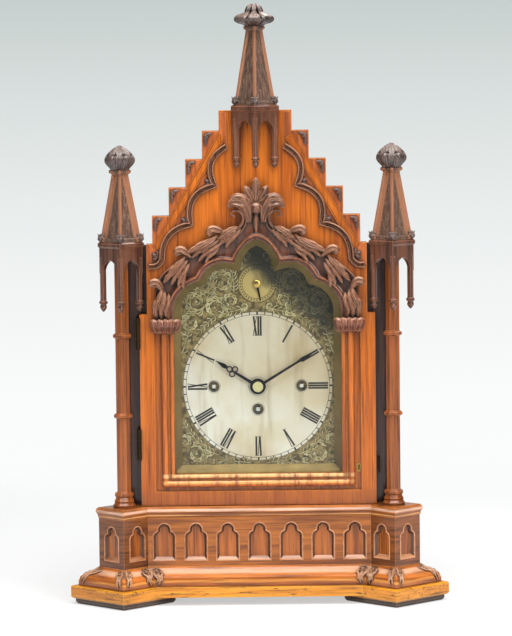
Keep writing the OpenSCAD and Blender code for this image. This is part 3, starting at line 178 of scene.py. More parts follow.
def wood(name, light, dark, along="z", gloss=0.34, contrast=1.0, hollow_shade_and_edge_light=0.55, fleck=0.0, offset=0.0,
         special=None, bands=()):
    """Varnished oak: rings, fibres, open pores and rays, painted shade in its hollows and corners, and
    edges made paler, partly as wear and partly as a painted highlight.

    A band is (height, half width, colour, share), in millimetres. On the mouldings the bands are painted
    highlights and painted shade lines; on the door board a band is a darker stripe across its bottom
    rail."""
    t = Tree(name)
    place = t.place()
    shift = (offset, offset * 0.7, offset * 0.3)
    stretch = ALONG[along]
    rings = t.scaled(t.noise(place, 48, stretch, 3.0, shift), 0.42,
                     t.times(t.noise(place, 210, stretch, 4.0, shift), 0.58))
    fibre = t.noise(place, 620, stretch, 4.0, shift)
    pores = t.noise(place, 430, tuple(s * (0.7 if s < 0.5 else 1) for s in stretch), 2.0, shift)
    cloud = t.noise(place, 9, (1, 1, 1), 2.0, shift)
    colour = t.mix(t.ramp(rings, 0.34, 0.62), dark, light)
    shade = t.scaled(fibre, 0.5 * contrast, 1 - 0.26 * contrast)
    shade = t.times(shade, t.scaled(cloud, 0.4, 0.8))
    pore = t.times(t.ramp(pores, 0.56, 0.68), 0.5 * contrast)
    shade = t.times(shade, t.minus(1.0, pore))
    if special:
        colour = special(t, place, colour)
    if fleck:
        rays = t.noise(place, 260, (0.25, 1, 1) if along != "z" else (1, 1, 0.25), 2.0, (3, 1, 2))
        colour = t.mix(t.times(t.ramp(rays, 0.6, 0.7), fleck), colour, [0.5 * v for v in dark])
    grey = t.add("CombineColor", {0: shade, 1: shade, 2: shade})
    colour = t.mix(1.0, colour, grey.outputs[0], "MULTIPLY")
    # Level bands at given heights that follow the grain: painted highlights and painted shade lines on
    # the mouldings, and a darker stripe on the door's rail.
    height = t.split(place)[2]
    for z, half, tone, share in bands:
        away = t.size(t.minus(height, z * MM))
        near = t.times(t.ramp(away, half * MM, half * 0.3 * MM), t.ramp(rings, 0.25, 0.6))
        colour = t.mix(t.times(near, share), colour, tone)
    # Painted shade: hollows and corners are darkened towards dark brown.
    colour = t.darken(colour, 0.016, hollow_shade_and_edge_light, (34, 18, 12))
    # Painted highlight, partly wear: edges are made paler than the wood around them.
    bevel = t.bevel(0.0011)
    facing = t.add("VectorMath", {0: bevel, 1: t.normal()}, operation="DOT_PRODUCT").outputs["Value"]
    edge = t.times(t.ramp(facing, 0.995, 0.88), 0.62 + 0.25 * hollow_shade_and_edge_light, clamp=True)
    colour = t.mix(edge, colour, [min(255, v * (1 + 0.3 * hollow_shade_and_edge_light) + 40 * hollow_shade_and_edge_light) for v in light])
    relief = t.plus(t.times(fibre, 0.5), t.times(pore, -1.2))
    return t.principled(colour, t.scaled(pores, 0.3, gloss - 0.1), t.bump(relief, 0.35, 0.0005, bevel),
                        Coat_Weight=0.7, Coat_Roughness=0.12, Specular_IOR_Level=0.2)


def metal(name, base, rough=0.25, turned=False, dull=0.35):
    """Brass or steel with fine scratches, tarnish in its corners and lighter clouds."""
    t = Tree(name)
    place = t.place()
    fine = t.noise(place, 900, (1, 0.08, 1) if turned else (0.06, 1, 1), 3.0)
    cloud = t.noise(place, 35, (1, 1, 1), 3.0)
    colour = t.mix(t.ramp(cloud, 0.3, 0.75), [v * 0.86 for v in base], base)
    colour = t.darken(colour, 0.006, dull, [v * 0.3 for v in base], samples=4)
    return t.principled(colour, t.scaled(fine, 0.2, rough), t.bump(fine, 0.12, 0.0002, t.bevel(0.0003)),
                        Metallic=1.0)


def spire_ribs(t, place, colour):
    """Colours the ribs on the spire's edges orange, and leaves the panels between them grey."""
    x, y = t.split(place)[:2]
    x = t.size(x)
    near = t.math("MINIMUM", t.size(t.minus(x, TOWER_X * MM)), x)
    deep = t.math("MINIMUM", t.size(t.minus(y, TOWER_Y * MM)), t.size(t.minus(y, CENTRE_Y * MM)))
    return t.mix(t.ramp(t.math("MINIMUM", near, deep), 0.0026, 0.0019), colour, (160, 106, 74))


def gable_end(t, place, colour):
    """On faces that look forward or back the boards run level, not through the thickness."""
    rings = t.noise(place, 110, ALONG["x"], 4.0, (2, 5, 1))
    boards = t.mix(t.ramp(rings, 0.34, 0.62), (110, 54, 16), (162, 88, 30))
    return t.mix(t.ramp(t.size(t.split(t.normal())[1]), 0.6, 0.9), colour, boards)


def top_light_under_shade(light, share, dark):
    """Painted light on carving: paler where it looks up, as lit from above, and painted shade where it
    looks down.
    """
    def paint(t, place, colour):
        up = t.split(t.normal())[2]
        colour = t.mix(t.times(t.ramp(up, 0.3, 0.85), share), colour, light)
        return t.mix(t.times(t.ramp(up, -0.25, -0.8), 0.6), colour, dark)
    return paint


def stippled(name):
    """Grey-brown oak worked all over with small punch marks, with plain ribs."""
    t = Tree(name)
    place = t.place()
    marks = t.add("TexVoronoi", {"Vector": place, "Scale": 620.0}).outputs["Distance"]
    grain = t.noise(place, 380, (1, 1, 0.2), 3.0)
    colour = t.mix(t.ramp(grain, 0.35, 0.68), (88, 62, 46), (138, 106, 86))
    colour = t.mix(t.ramp(marks, 0.3, 0.75), t.mix(0.6, colour, (40, 26, 22)), colour)
    colour = spire_ribs(t, place, colour)
    colour = t.darken(colour, 0.01, 0.6, (34, 20, 15), 0.85, 0.3)
    return t.principled(colour, 0.48, t.bump(marks, 0.6, 0.0012, t.bevel(0.0008)), Coat_Weight=0.15)


def dial_zones(t, place):
    """Shares of the dial: outside the minute circle, on the small dial, and painted shade at the top
    right.
    """
    x, _, z = t.split(place)
    z = t.minus(z, DIAL_Z * MM)

    def distance(height):
        h = t.minus(z, height)
        return t.math("SQRT", t.plus(t.times(x, x), t.times(h, h)))

    outside = t.ramp(distance(0), 0.0965, 0.0985)
    small = t.ramp(distance(0.134), 0.0262, 0.0238)
    uneven = t.scaled(t.noise(place, 45, (1, 1, 0.6), 4.0), 0.05, -0.025)
    # Painted shade: grows towards the top right, outside the minute circle.
    lean = t.plus(t.plus(t.times(x, 0.85), z), uneven)
    return x, z, outside, small, t.times(t.ramp(lean, 0.132, 0.16), outside)


def silvered_plate(name):
    """Silvered brass, brushed upright, darkened towards the top and right by painted shade, yellow
    outside the minute circle, with painted shade and a painted dark reflection at the top right.
    """
    t = Tree(name)
    place = t.place()
    x, z, outside, small, painted_shade = dial_zones(t, place)
    brushed = t.noise(place, 1300, (1, 1, 0.02), 2.0)
    cloud = t.noise(place, 14, (1, 1, 1), 4.0)
    streak = t.noise(place, 60, (1, 1, 0.12), 3.0)
    tone = t.mix(t.ramp(cloud, 0.3, 0.7), (228, 208, 172), (255, 250, 240))
    # Painted shade: the plate darkens towards the top and the right.
    dim = t.ramp(t.plus(t.times(x, 0.5), t.plus(z, t.times(cloud, 0.1))), -0.03, 0.13)
    tone = t.mix(t.times(dim, 0.5), tone, (190, 162, 112))
    tone = t.mix(t.times(t.ramp(streak, 0.5, 0.72), 0.5), tone, (178, 150, 108))
    patches = t.ramp(t.noise(place, 220, (1, 1, 1), 3.0), 0.35, 0.65)
    tone = t.mix(outside, tone, t.mix(patches, (88, 72, 42), (168, 144, 92)))
    tone = t.mix(small, tone, (206, 178, 112))
    # Painted shade and a painted dark reflection at the top right, outside the minute circle.
    tone = t.mix(t.times(painted_shade, 0.94), tone, (40, 38, 32))
    return t.principled(tone, t.scaled(brushed, 0.16, 0.3), t.bump(brushed, 0.05, 0.0001), Metallic=0.2)


def engraved_gold(name):
    """The polished bands of the engraving, darkened at the top right by the same painted shade as the
    plate.
    """
    t = Tree(name)
    place = t.place()
    cloud = t.noise(place, 120, (1, 1, 1), 3.0)
    tone = t.mix(t.ramp(cloud, 0.3, 0.7), (196, 172, 112), (240, 226, 176))
    # Painted shade at the top right, as on the plate.
    tone = t.mix(t.times(dial_zones(t, place)[4], 0.88), tone, (66, 60, 44))
    return t.principled(tone, 0.34, Metallic=0.25)


def clear_glass(name):
    """Thin clear glass: lets light through and mirrors a little, more at a slant."""
    t = Tree(name)
    ripple = t.bump(t.noise(t.place(), 18, (1, 1, 1), 1.0), 0.04, 0.001)
    slant = t.add("LayerWeight", {"Blend": 0.12})
    mirror = t.add("BsdfGlossy", {"Color": (1, 1, 1, 1), "Roughness": 0.02, "Normal": ripple})
    through = t.add("BsdfTransparent", {"Color": (0.955, 0.975, 0.965, 1)})
    return t.blend(t.scaled(slant.outputs["Fresnel"], 0.9, 0.012), through, mirror)


def plain(name, colour, rough=0.5):
    """A dull, slightly uneven finish, as of wax, paint or felt."""
    t = Tree(name)
    cloud = t.noise(t.place(), 240, (1, 1, 1), 2.0)
    return t.principled(t.mix(cloud, [v * 0.8 for v in colour], colour), rough)


# Painted light for carving: pale tops as a painted highlight and painted shade under the carving.
lit = top_light_under_shade((226, 178, 146), 0.6, (52, 28, 22))
dim_lit = top_light_under_shade((190, 160, 140), 0.2, (46, 30, 24))
oak_up = wood("oak_upright", (204, 108, 22), (160, 76, 12), bands=[(136, 14, (118, 66, 28), 0.4)])
oak_across = wood("oak_across", (184, 106, 34), (122, 62, 18), "x", offset=0.4)
oak_deep = wood("oak_side", (168, 90, 28), (112, 52, 14), offset=0.9)
oak_column = wood("oak_column", (162, 88, 36), (104, 52, 20), offset=1.7)
golden = wood("oak_golden", (236, 156, 42), (186, 104, 20), "x", 0.36, fleck=0.8, offset=2.3)
# Painted light on the base moulding: a pale painted reflection on the top of its roll, a painted
# highlight lower down and a painted shade line under it.
base_oak = wood("oak_base_moulding", (214, 124, 52), (146, 76, 30), "x", 0.2, offset=3.1, bands=[
    (42, 3.5, (240, 196, 164), 0.75), (31, 2.5, (246, 180, 96), 0.5), (25, 1, (70, 34, 16), 0.5)])
carved = wood("oak_carved", (136, 88, 62), (74, 42, 30), "z", 0.24, 0.7, 1.1, offset=4.2, special=lit)
# Painted light on the cornice: painted highlights on its top roll and lower fillet, and painted shade in
# the groove between them.
cornice_oak = wood("oak_cornice", (186, 110, 46), (120, 62, 24), "x", 0.24, offset=5.5, bands=[
    (121, 2.6, (244, 204, 178), 0.75), (114.5, 1.2, (250, 190, 120), 0.7),
    (117.2, 0.9, (90, 46, 24), 0.6)])
patina = wood("oak_patina", (96, 66, 54), (60, 40, 36), "z", 0.4, 0.5, 0.8, offset=6.1)
# Painted highlights along the sill moulding under the glass.
red_roll = wood("oak_red_moulding", (212, 116, 44), (148, 72, 30), "z", 0.22, 0.6, 0.8, offset=7.7,
                bands=[(165, 3.5, (250, 206, 140), 0.75), (156.5, 3.0, (246, 190, 112), 0.7)])
grey_carved = wood("oak_grey_carved", (98, 82, 76), (52, 42, 40), "z", 0.34, 0.6, 0.7, offset=8.2,
                   special=dim_lit)
hood_oak = wood("oak_hood", (128, 76, 54), (76, 42, 30), "z", 0.24, 0.6, 1.0, offset=14.1, special=lit)
border_oak = wood("oak_border", (196, 104, 48), (128, 62, 28), "z", 0.34, 0.9, 0.9, offset=13.3)
pedestal_oak = wood("oak_pedestal", (138, 78, 34), (86, 44, 18), "x", 0.3, 1.1, 0.9, offset=15.5)
roof_oak = wood("oak_roof", (162, 88, 30), (110, 54, 16), "y", 0.34, 0.6, offset=18.3, special=gable_end)
foot_oak = wood("oak_feet", (132, 108, 90), (84, 64, 52), "x", 0.5, 0.7, 0.8, offset=19.1)
# The arch roll: red-brown, paler than the hood; the extra paleness is a painted highlight along the roll.
pale_roll_oak = wood("oak_pale_roll", (170, 106, 74), (118, 66, 46), "z", 0.2, 0.6, 0.4, offset=16.9)
canopy_oak = wood("oak_canopy", (112, 70, 50), (66, 38, 26), "z", 0.26, 0.6, 1.0, offset=10.3)
panel_oak = wood("oak_panel", (190, 106, 38), (122, 60, 20), "z", 0.3, 1.1, 1.0, offset=11.7)
# Niche lips and sills are pale as a painted highlight.
lip_highlight_oak = wood("oak_lip_painted_highlight", (206, 146, 104), (150, 90, 56), "x", 0.22, 0.6, 0.5, offset=17.7)
# Niche reveals are dark as painted shade.
reveal_shade_oak = wood("oak_reveal_painted_shade", (112, 70, 48), (70, 42, 30), "z", 0.22, 0.6, 0.9, offset=12.9)
clasp_oak = wood("oak_patina_carved", (158, 112, 80), (96, 62, 44), "z", 0.26, 0.6, 0.9, offset=9.4)
grey = stippled("oak_stippled")
silver = silvered_plate("silvered_brass")
gilt = metal("dull_gilt", (160, 134, 86), 0.4, dull=0.75)
brass = metal("brass", (216, 176, 96), 0.2)
turned_brass = metal("turned_brass", (222, 184, 104), 0.16, True)
old_brass = metal("old_brass", (64, 50, 34), 0.45, dull=0.8)
# Cream, matte brass stands for the bright sheen of the polished collet: a painted highlight.
brass_painted_sheen = plain("brass_painted_sheen", (244, 230, 168), 0.3)
steel = metal("steel", (176, 178, 182), 0.24)
dull_steel = metal("dull_steel", (120, 112, 98), 0.34, dull=0.9)
# Near-white matte steel stands for the glint on the polished square ends: a painted highlight.
steel_painted_glint = plain("steel_painted_glint", (236, 236, 230), 0.3)
blued = metal("blued_steel", (44, 42, 48), 0.3)
glass = clear_glass("clear_glass")
black_wax = plain("black_wax", (30, 27, 24), 0.6)
engraved = plain("engraved_lines", (44, 38, 26), 0.6)
scroll_gold = engraved_gold("engraved_scrolls")

MATERIALS = {
    oak_up: "door_board glazing_bead",
    oak_across: "frieze",
    pedestal_oak: "pedestals",
    oak_deep: "carcass_sides plinth_frame seatboard back_door side_frets",
    roof_oak: "roof",
    patina: "front_frame",
    foot_oak: "feet",
    oak_column: "column_left column_right",
    golden: "slab corner_blocks",
    base_oak: "base_mouldings",
    cornice_oak: "cornice",
    carved: "gable_moulding",
    hood_oak: "hood_mould corbels",
    canopy_oak: "canopy_left canopy_right centre_canopy",
    red_roll: "door_moulding",
    grey: "turret_left turret_right centre_spire",
    silver: "dial_plate",
    gilt: "dial_surround",
    blued: "hour_hand minute_hand silent_hand",
    glass: "door_glass back_door_glass",
    steel: "lock_bolt pallet_arbor bell_stand hour_hammer quarter_hammer_left quarter_hammer_right",
    turned_brass: "bells going_fusee strike_fusee chime_fusee centre_arbor third_arbor escape_arbor"
                  " motion_wheel hour_wheel pendulum",
    old_brass: "door_hinges case_hinges",
    brass: "movement_frame door_lock back_hinges back_door_catch going_barrel strike_barrel"
           " chime_barrel",
}
for material, names in MATERIALS.items():
    for name in names.split():
        nodes[name].data.materials.clear()
        nodes[name].data.materials.append(material)


def new_object(name, data):
    o = bpy.data.objects.new(name, data)
    bpy.context.scene.collection.objects.link(o)
    return o


def new_mesh(name, points, faces, material):
    """A smooth shaded object from points in metres."""
    mesh = bpy.data.meshes.new(name)
    mesh.from_pydata(points, [], faces)
    for p in mesh.polygons:
        p.use_smooth = True
    mesh.materials.append(material)
    return new_object(name, mesh)


class Shape:
    """The points and faces of one piece, gathered from its parts."""

    def __init__(self):
        self.points = []
        self.faces = []

    def grid(self, rows, ends=True):
        """Joins rows of points, each closed into a ring, and caps the end rows."""
        start, n = len(self.points), len(rows[0])
        for row in rows:
            self.points.extend(row)
        for i in range(len(rows) - 1):
            for j in range(n):
                a = start + i * n + j
                b = start + i * n + (j + 1) % n
                self.faces.append((a, b, b + n, a + n))
        if ends:
            self.faces.append(tuple(reversed(range(start, start + n))))
            last = start + (len(rows) - 1) * n
            self.faces.append(tuple(range(last, last + n)))

    def prism(self, outline, front, back):
        """A flat shape in the plane of the dial, from its outline in x and z."""
        self.grid([[Vector((x, y, z)) for x, z in outline] for y in (front, back)])

    def mirrored(self):
        """Adds the same again on the other side of the clock's middle."""
        start = len(self.points)
        self.points += [Vector((-p.x, p.y, p.z)) for p in self.points]
        self.faces += [tuple(start + i for i in reversed(f)) for f in self.faces]
        return self

    def piece(self, name, material, body, slot, sharp=50):
        o = new_mesh(name, [tuple(p * MM) for p in self.points], self.faces, material)
        whole = bmesh.new()
        whole.from_mesh(o.data)
        bmesh.ops.recalc_face_normals(whole, faces=whole.faces)
        whole.to_mesh(o.data)
        whole.free()
        o.data.set_sharp_from_angle(angle=radians(sharp))
        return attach(o, body)

    def on_door(self, name, material, sharp=50):
        return self.piece(name, material, "front_door", "dark_oak", sharp)


def curve(points, count):
    """count + 1 points, evenly spread along a smooth curve through points."""
    p = [2 * points[0] - points[1]] + list(points) + [2 * points[-1] - points[-2]]
    fine = []
    for i in range(1, len(p) - 2):
        for k in range(12):
            t = k / 12
            fine.append(0.5 * (2 * p[i] + (p[i + 1] - p[i - 1]) * t
                               + (2 * p[i - 1] - 5 * p[i] + 4 * p[i + 1] - p[i + 2]) * t * t
                               + (3 * p[i] - p[i - 1] - 3 * p[i + 1] + p[i + 2]) * t ** 3))
    fine.append(p[-2])
    return spread(fine, count)


def spread(line, count):
    """count + 1 points at even steps along a line of points."""
    run = [0.0]
    for a, b in zip(line, line[1:]):
        run.append(run[-1] + (b - a).length)
    out, k = [], 0
    for i in range(count + 1):
        want = run[-1] * i / count
        while k < len(line) - 2 and run[k + 1] < want:
            k += 1
        part = (want - run[k]) / max(1e-6, run[k + 1] - run[k])
        out.append(line[k].lerp(line[k + 1], min(1, part)))
    return out


def tangent_at(path, i):
    return (path[min(i + 1, len(path) - 1)] - path[max(i - 1, 0)]).normalized()


def polar(x, z, r, a):
    """The point at distance r and clockwise angle a from x, z."""
    return (x + r * sin(a), z + r * cos(a))


def on_front(points):
    """Points in front of the door, from (x, z, distance from the door)."""
    return [Vector((x, FRONT - proud, z)) for x, z, proud in points]


def leaf(shape, spine, out, width, depth, lobes=4, peak=0.45, ribs=2.5, root=0.3, steps=26, flat=0.0):
    """A carved leaf along spine that stands proud in the direction out: ribbed along its length,
    grooved down the middle, with sides cut into lobes that point forward."""
    across = 8
    path = curve(spine, steps)
    length = sum((b - a).length for a, b in zip(path, path[1:]))
    rows = []
    for i, p in enumerate(path):
        t = i / steps
        tangent = tangent_at(path, i)
        side = tangent.cross(out).normalized()
        up = side.cross(tangent)
        if t < peak:
            body = root + (1 - root) * sin(pi / 2 * t / peak)
        else:
            body = max(0.04, (1 - ((t - peak) / (1 - peak)) ** 2.2)) ** 0.8
        notch = abs(sin(pi * lobes * t)) ** 0.5 if lobes else 1
        half = width / 2 * body * (0.62 + 0.38 * notch)
        row = []
        for j in range(-across, across + 1):
            v = j / across
            ahead = 0.16 * length * abs(v) ** 1.6 * body * (1 - t) if lobes else 0
            rise = (1 - abs(v) ** 2.4) ** 0.6 * (1 + 0.2 * cos(2 * pi * ribs * v))
            rise *= 1 - 0.35 * exp(-(v / 0.12) ** 2) - 0.3 * (1 - notch) * abs(v)
            high = depth * (flat + (1 - flat) * body) * rise
            row.append(p + tangent * ahead + side * (half * v) + up * high)
        row += [p + side * (half * 0.9 * v) - up * depth * 0.35 for v in (1, 0, -1)]
        rows.append(row)
    shape.grid(rows)


def front_leaf(shape, points, *form):
    leaf(shape, on_front(points), FORWARD, *form)


def rod(shape, path, radius, sides=10, up=FORWARD):
    """A round stem along path; radius is a function of the share of the way along."""
    rows = []
    for i, p in enumerate(path):
        tangent = tangent_at(path, i)
        side = tangent.cross(up).normalized()
        over = side.cross(tangent)
        r = radius(i / (len(path) - 1))
        rows.append([p + side * (r * cos(a)) + over * (r * sin(a))
                     for a in [2 * pi * k / sides for k in range(sides)]])
    shape.grid(rows)


def ball(shape, centre, r, flat=1.0, count=10):
    rows = []
    for i in range(1, count):
        a = pi * i / count
        rows.append([centre + Vector((r * sin(a) * cos(b), r * flat * sin(a) * sin(b), r * cos(a)))
                     for b in [2 * pi * k / 14 for k in range(14)]])
    shape.grid(rows)


def arc_points(a, b, bulge, count=14):
    """Points of an arc from a to b that bulges to the left by bulge."""
    a, b = Vector(a), Vector(b)
    chord = b - a
    normal = Vector((-chord.y, chord.x)).normalized()
    return [a + chord * t + normal * (4 * bulge * t * (1 - t)) for t in
            [i / count for i in range(count + 1)]]


def hood():
    """The dark hood that follows the cusped arch: a roll at the opening, a hollow and an outer bead."""
    foot, low, high, top = (OPENING, 370), (73.8, 420), (29.3, 440.4), (0, 472)
    inner = arc_points(foot, low, -12)
    inner += arc_points(low, high, -10.5)[1:] + arc_points(high, top, -6.6)[1:]
    outer = [(133.5, 369), (131.8, 396), (129.5, 419), (108, 441), (88, 454), (62, 466), (43, 475),
             (30, 483), (19.5, 492), (15, 503), (9, 513), (0, 517)]
    outer = curve([Vector((x, z, 0)) for x, z in outer], 60)
    inner = spread([Vector((p.x, p.y, 0)) for p in inner], 60)
    section = [(0, 0), (0.5, 1.6), (2.6, 2.6), (4.4, 5), (5.6, 6.6), (7.4, 6), (8.4, 3), (10, 2.2)]
    rows, middle = [], []
    for a, b in zip(inner, outer):
        way = (b - a).normalized()
        width = (b - a).length
        row = [(a + way * s, h) for s, h in section]
        row += [(a + way * (10 + (width - 14) * k / 4), 2.2 + 1.6 * k / 4) for k in (1, 2, 3)]
        row += [(b - way * 3.4, 3.4), (b - way * 2.6, 5.6), (b - way * 1.1, 6), (b, 4.4), (b, -0.4),
                (a, -0.4)]
        rows.append(on_front([(p.x, p.y, h) for p, h in row]))
        middle.append(a + way * 6.2)
    shape = Shape()
    shape.grid(rows)
    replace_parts(shape.mirrored().on_door("hood_moulding", hood_oak, 35), "hood_mould")
    # The roll is paler than the hood as a painted highlight.
    roll = Shape()
    rod(roll, on_front([(p.x, p.y, 6.2) for p in spread(middle, 70)]), lambda t: 1.35, 12)
    roll.mirrored().on_door("arch_roll", pale_roll_oak)


# Four groups of leaf strands that climb the hood, as points on the door
STRANDS = [
    [[(24, 489, 7), (34, 484, 10), (44, 477, 9), (52, 472, 5)],
     [(26, 484, 6), (36, 477, 8), (44, 470, 7), (50, 463, 4)],
     [(20, 486, 4), (28, 477, 7), (35, 470, 6), (40, 461, 3)]],
    [[(50, 478, 9), (62, 470, 12), (76, 463, 12), (90, 456, 10)],
     [(48, 472, 7), (60, 466, 10), (72, 459, 10), (84, 449, 6)],
     [(46, 468, 6), (56, 461, 9), (66, 455, 8), (76, 444, 4)],
     [(48, 463, 5), (54, 456, 7), (61, 451, 7), (67, 441, 3)]],
    [[(92, 451, 9), (101, 441, 12), (110, 430, 12), (121, 417, 10)],
     [(89, 447, 7), (97, 437, 10), (104, 427, 10), (111, 414, 6)],
     [(87, 442, 6), (92, 433, 9), (98, 424, 8), (102, 411, 4)],
     [(91, 436, 5), (93, 428, 7), (95, 420, 7), (95, 409, 3)]],
    [[(123, 409, 9), (126, 397, 12), (131, 386, 11), (130, 371, 6)],
     [(119, 406, 7), (120, 394, 11), (124, 382, 10), (123, 370, 5)],
     [(114, 403, 5), (114, 392, 9), (118, 381, 8), (116, 370, 4)]],
]


def crockets():
    """Leaves that climb the hood in a chain: strands that part from a curled head and lie along it."""
    shape = Shape()
    for group in STRANDS:
        for k, points in enumerate(group):
            front_leaf(shape, points, 11 - 1.3 * k, 6.6 - 0.7 * k, 3, 0.42, 1.5, 0.4, 28, 0.35)
    for x, z, turn in ((53.5, 484, 60), (95, 457, 40), (128, 414, 20)):
        a = radians(turn)
        ahead, aside = Vector((sin(a), cos(a))), Vector((cos(a), -sin(a)))
        for k, size in enumerate((10, 8, 6)):
            curl = []
            for u, v, h in ((-9, -3, 6), (-2, -2.5 + k, 10), (4, k, 13 - k), (5, 5, 12.5 - k),
                            (1, 7 - k, 10 - k)):
                q = Vector((x, z)) + ahead * (u * size / 8.5) + aside * (v * size / 8.5)
                curl.append((q.x, q.y, h))
            front_leaf(shape, curl, size, 5.4, 0, 0.6, 2.0, 0.5, 26, 0.5)
        ball(shape, Vector((x + 3.6 * aside.x, FRONT - 8.5, z + 3.6 * aside.y)), 3)
    shape.mirrored().on_door("hood_crockets", carved, 60)


def palmette():
    """Scrolled stems, ribbed leaves that curl over to the sides, and a fan of petals over a ball."""
    shape = Shape()
    for path, r in (([(49, 476.5, 5), (39, 479, 6), (29, 483, 7), (21.5, 488.5, 8), (17.2, 495.5, 9),
                      (17.2, 503, 10), (21.5, 508.5, 11), (29, 510, 11), (32.5, 505.5, 10),
                      (28.5, 502, 9)], 2),
                    ([(46, 471.5, 4.5), (36, 474, 5), (26, 478, 6), (18.5, 484, 6.5), (13.8, 492, 7),
                      (12.8, 501, 8)], 1.3)):
        rod(shape, curve(on_front(path), 40), lambda t: r * (1 - 0.35 * abs(2 * t - 1)))
    front_leaf(shape, [(9, 496, 4), (12, 508, 9), (20, 519, 12), (30, 520, 12), (36, 513, 9)],
               17, 6, 0, 0.55, 3.0, 0.45, 28, 0.5)
    front_leaf(shape, [(6, 500, 6), (9, 514, 11), (17, 527, 13), (28, 528, 13), (36, 521, 10)],
               9, 5, 5, 0.5, 1.0, 0.5, 28, 0.4)
    shape.mirrored()
    for turn in (-80, -56, -28, 0, 28, 56, 80):
        a = radians(turn)
        long = (38.5 if turn == 0 else 35.5 - abs(turn) * 0.14)
        line = [(*polar(0, 514, r, a), h)
                for r, h in ((3, 6), (long * 0.4, 9), (long * 0.75, 12), (long, 11))]
        front_leaf(shape, line, 12 if turn == 0 else 11, 5, 0, 0.66, 1.0, 0.3, 22, 0.4)
    ball(shape, Vector((0, FRONT - 12, 512.5)), 8, 0.8, 14)
    front_leaf(shape, [(0, 508, 9), (0, 498, 7), (0, 488, 5), (0, 479, 4)], 7, 5, 0, 0.35, 1.0)
    shape.on_door("palmette", carved, 60)


def corbel_leaves():
    """Each corbel is a row of leaves that rise from a neck, swell and roll over at the top."""
    shape = Shape()
    low, high = (corner.z for corner in box("corbels"))
    middle = OPENING + 10
    for k in range(-2, 3):
        spine = [Vector((middle + k * 7.4 * s, FRONT - d, low + z)) for z, d, s in
                 ((0, 3, 0.72), (4, 8, 0.84), (9, 13.5, 0.98), (13, 14.5, 1.04), (15.5, 12, 1.02),
                  (14.5, 9, 1))]
        leaf(shape, spine, Vector((0.1 * k, -1, -0.35)), 10.5, 4, 0, 0.6, 1.0, 0.6, 24, 0.6)
    core = [(-15, low), (15, low), (19, low + 8), (19, high), (-19, high), (-19, low + 8)]
    shape.prism([(middle + x, z) for x, z in core], FRONT - 8, FRONT)
    rod(shape, [Vector((middle + x, FRONT - 4, low + 1.5)) for x in (-17, -6, 6, 17)], lambda t: 2.6)
    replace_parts(shape.mirrored().on_door("corbel_leaves", hood_oak, 60), "corbels")


GABLE_CUSPS = [(139.5, SHOULDER_Z - 29), (GABLE_HALF - 12.7, SHOULDER_Z - 20),
               (GABLE_HALF - 50.7, SHOULDER_Z + 25), (GABLE_HALF - 82, SHOULDER_Z + 75),
               (GABLE_HALF - 97.5, SHOULDER_Z + 125)]


def gable():
    """The gable's border of darker oak, its raking band, and the cusped moulding around its field."""
    half, low = GABLE_HALF, SHOULDER_Z
    path = []
    for a, b, bulge in zip(GABLE_CUSPS, GABLE_CUSPS[1:], (4, -13, -15, -13)):
        path += arc_points(a, b, bulge, 12)[1 if path else 0:]
    top = low + 4 * STEP_Z + 24
    steps = [(half - 97.5, top), (half - 4 * STEP_X - 0.6, top)]
    for k in range(3, -1, -1):
        x, z = half - k * STEP_X - 0.6, low + (k + 1) * STEP_Z - 0.6
        steps += [(x - STEP_X, z), (x, z)]
    steps += [(half - 0.6, low + 0.5), (141.9, low - 0.5), (141.9, low - 29)]
    plate = Shape()
    plate.prism(path + steps, FRONT - 0.9, FRONT + 0.1)
    plate.mirrored().on_door("gable_border", border_oak, 30)
    band = Shape()
    run = Vector((-STEP_X, STEP_Z)).normalized()
    side = Vector((run.y, -run.x))
    for off, wide, proud in ((0, 6.4, 1.7), (-4.6, 1.1, 2.3), (4.6, 1.1, 2.3)):
        a = Vector((half - 5, low - 5)) + side * off
        b = a + run * 168
        edge = side * wide / 2
        band.prism([a - edge, a + edge, b + edge, b - edge], FRONT - proud, FRONT)
    band.mirrored().on_door("gable_bands", oak_up, 30)
    section = [(-3.8, -0.3), (-3.8, 3.4), (-3.0, 4.6), (-1.9, 4.4), (-1.2, 2.6), (-0.4, 1.8), (0.8, 2.4),
               (1.6, 5), (2.6, 6.2), (3.7, 6), (4.4, 4.6), (4.4, -0.3)]
    cusps = Shape()
    rows = []
    for i, q in enumerate(path):
        t = tangent_at(path, i)
        rows.append(on_front([(q.x + t.y * w, q.y - t.x * w, h) for w, h in section]))
    cusps.grid(rows)
    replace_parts(cusps.mirrored().on_door("gable_cusps", carved, 30), "gable_moulding")


def gable_leaves():
    """Carved leaves in the corner of each gable step and in the spandrels over the cusps."""
    shape = Shape()
    for k in range(4):
        x, z = GABLE_HALF - k * STEP_X, SHOULDER_Z + (k + 1) * STEP_Z
        for reach, drop, bend in ((13.5, 3.5, 1), (9, 9, 0), (3.5, 20, -1)):
            line = [(x - 3.5, z - 4, 3.2),
                    (x - 3.5 - (reach - 3.5) * 0.5 + bend, z - 3.5 - drop * 0.5 + bend, 4),
                    (x - reach, z - drop, 3.2)]
            front_leaf(shape, line, 4.6, 1.6, 3, 0.5, 1.0, 0.4, 12)
    lean = atan2(STEP_Z, STEP_X)
    for cusp in GABLE_CUSPS[1:4]:
        x, z = polar(*cusp, 6, lean)
        for k in (-1, 0, 1):
            a = lean + radians(52 * k)
            line = [(x, z, 1.2), (*polar(x, z, 5, a), 3), (*polar(x, z, 10 - abs(k), a), 2)]
            front_leaf(shape, line, 5.2, 2, 3, 0.5, 1.0, 0.4, 12)
    shape.mirrored().on_door("gable_leaves", patina, 60)


HOURS = ["XII", "I", "II", "III", "IIII", "V", "VI", "VII", "VIII", "IX", "X", "XI"]
NUMERAL_WIDTHS = {"I": 3.1, "V": 5.6, "X": 5.8}
SMALL_Z = DIAL_Z + 134
WINDING = [(-57.2, 0), (57.2, 0), (0, -30.2)]


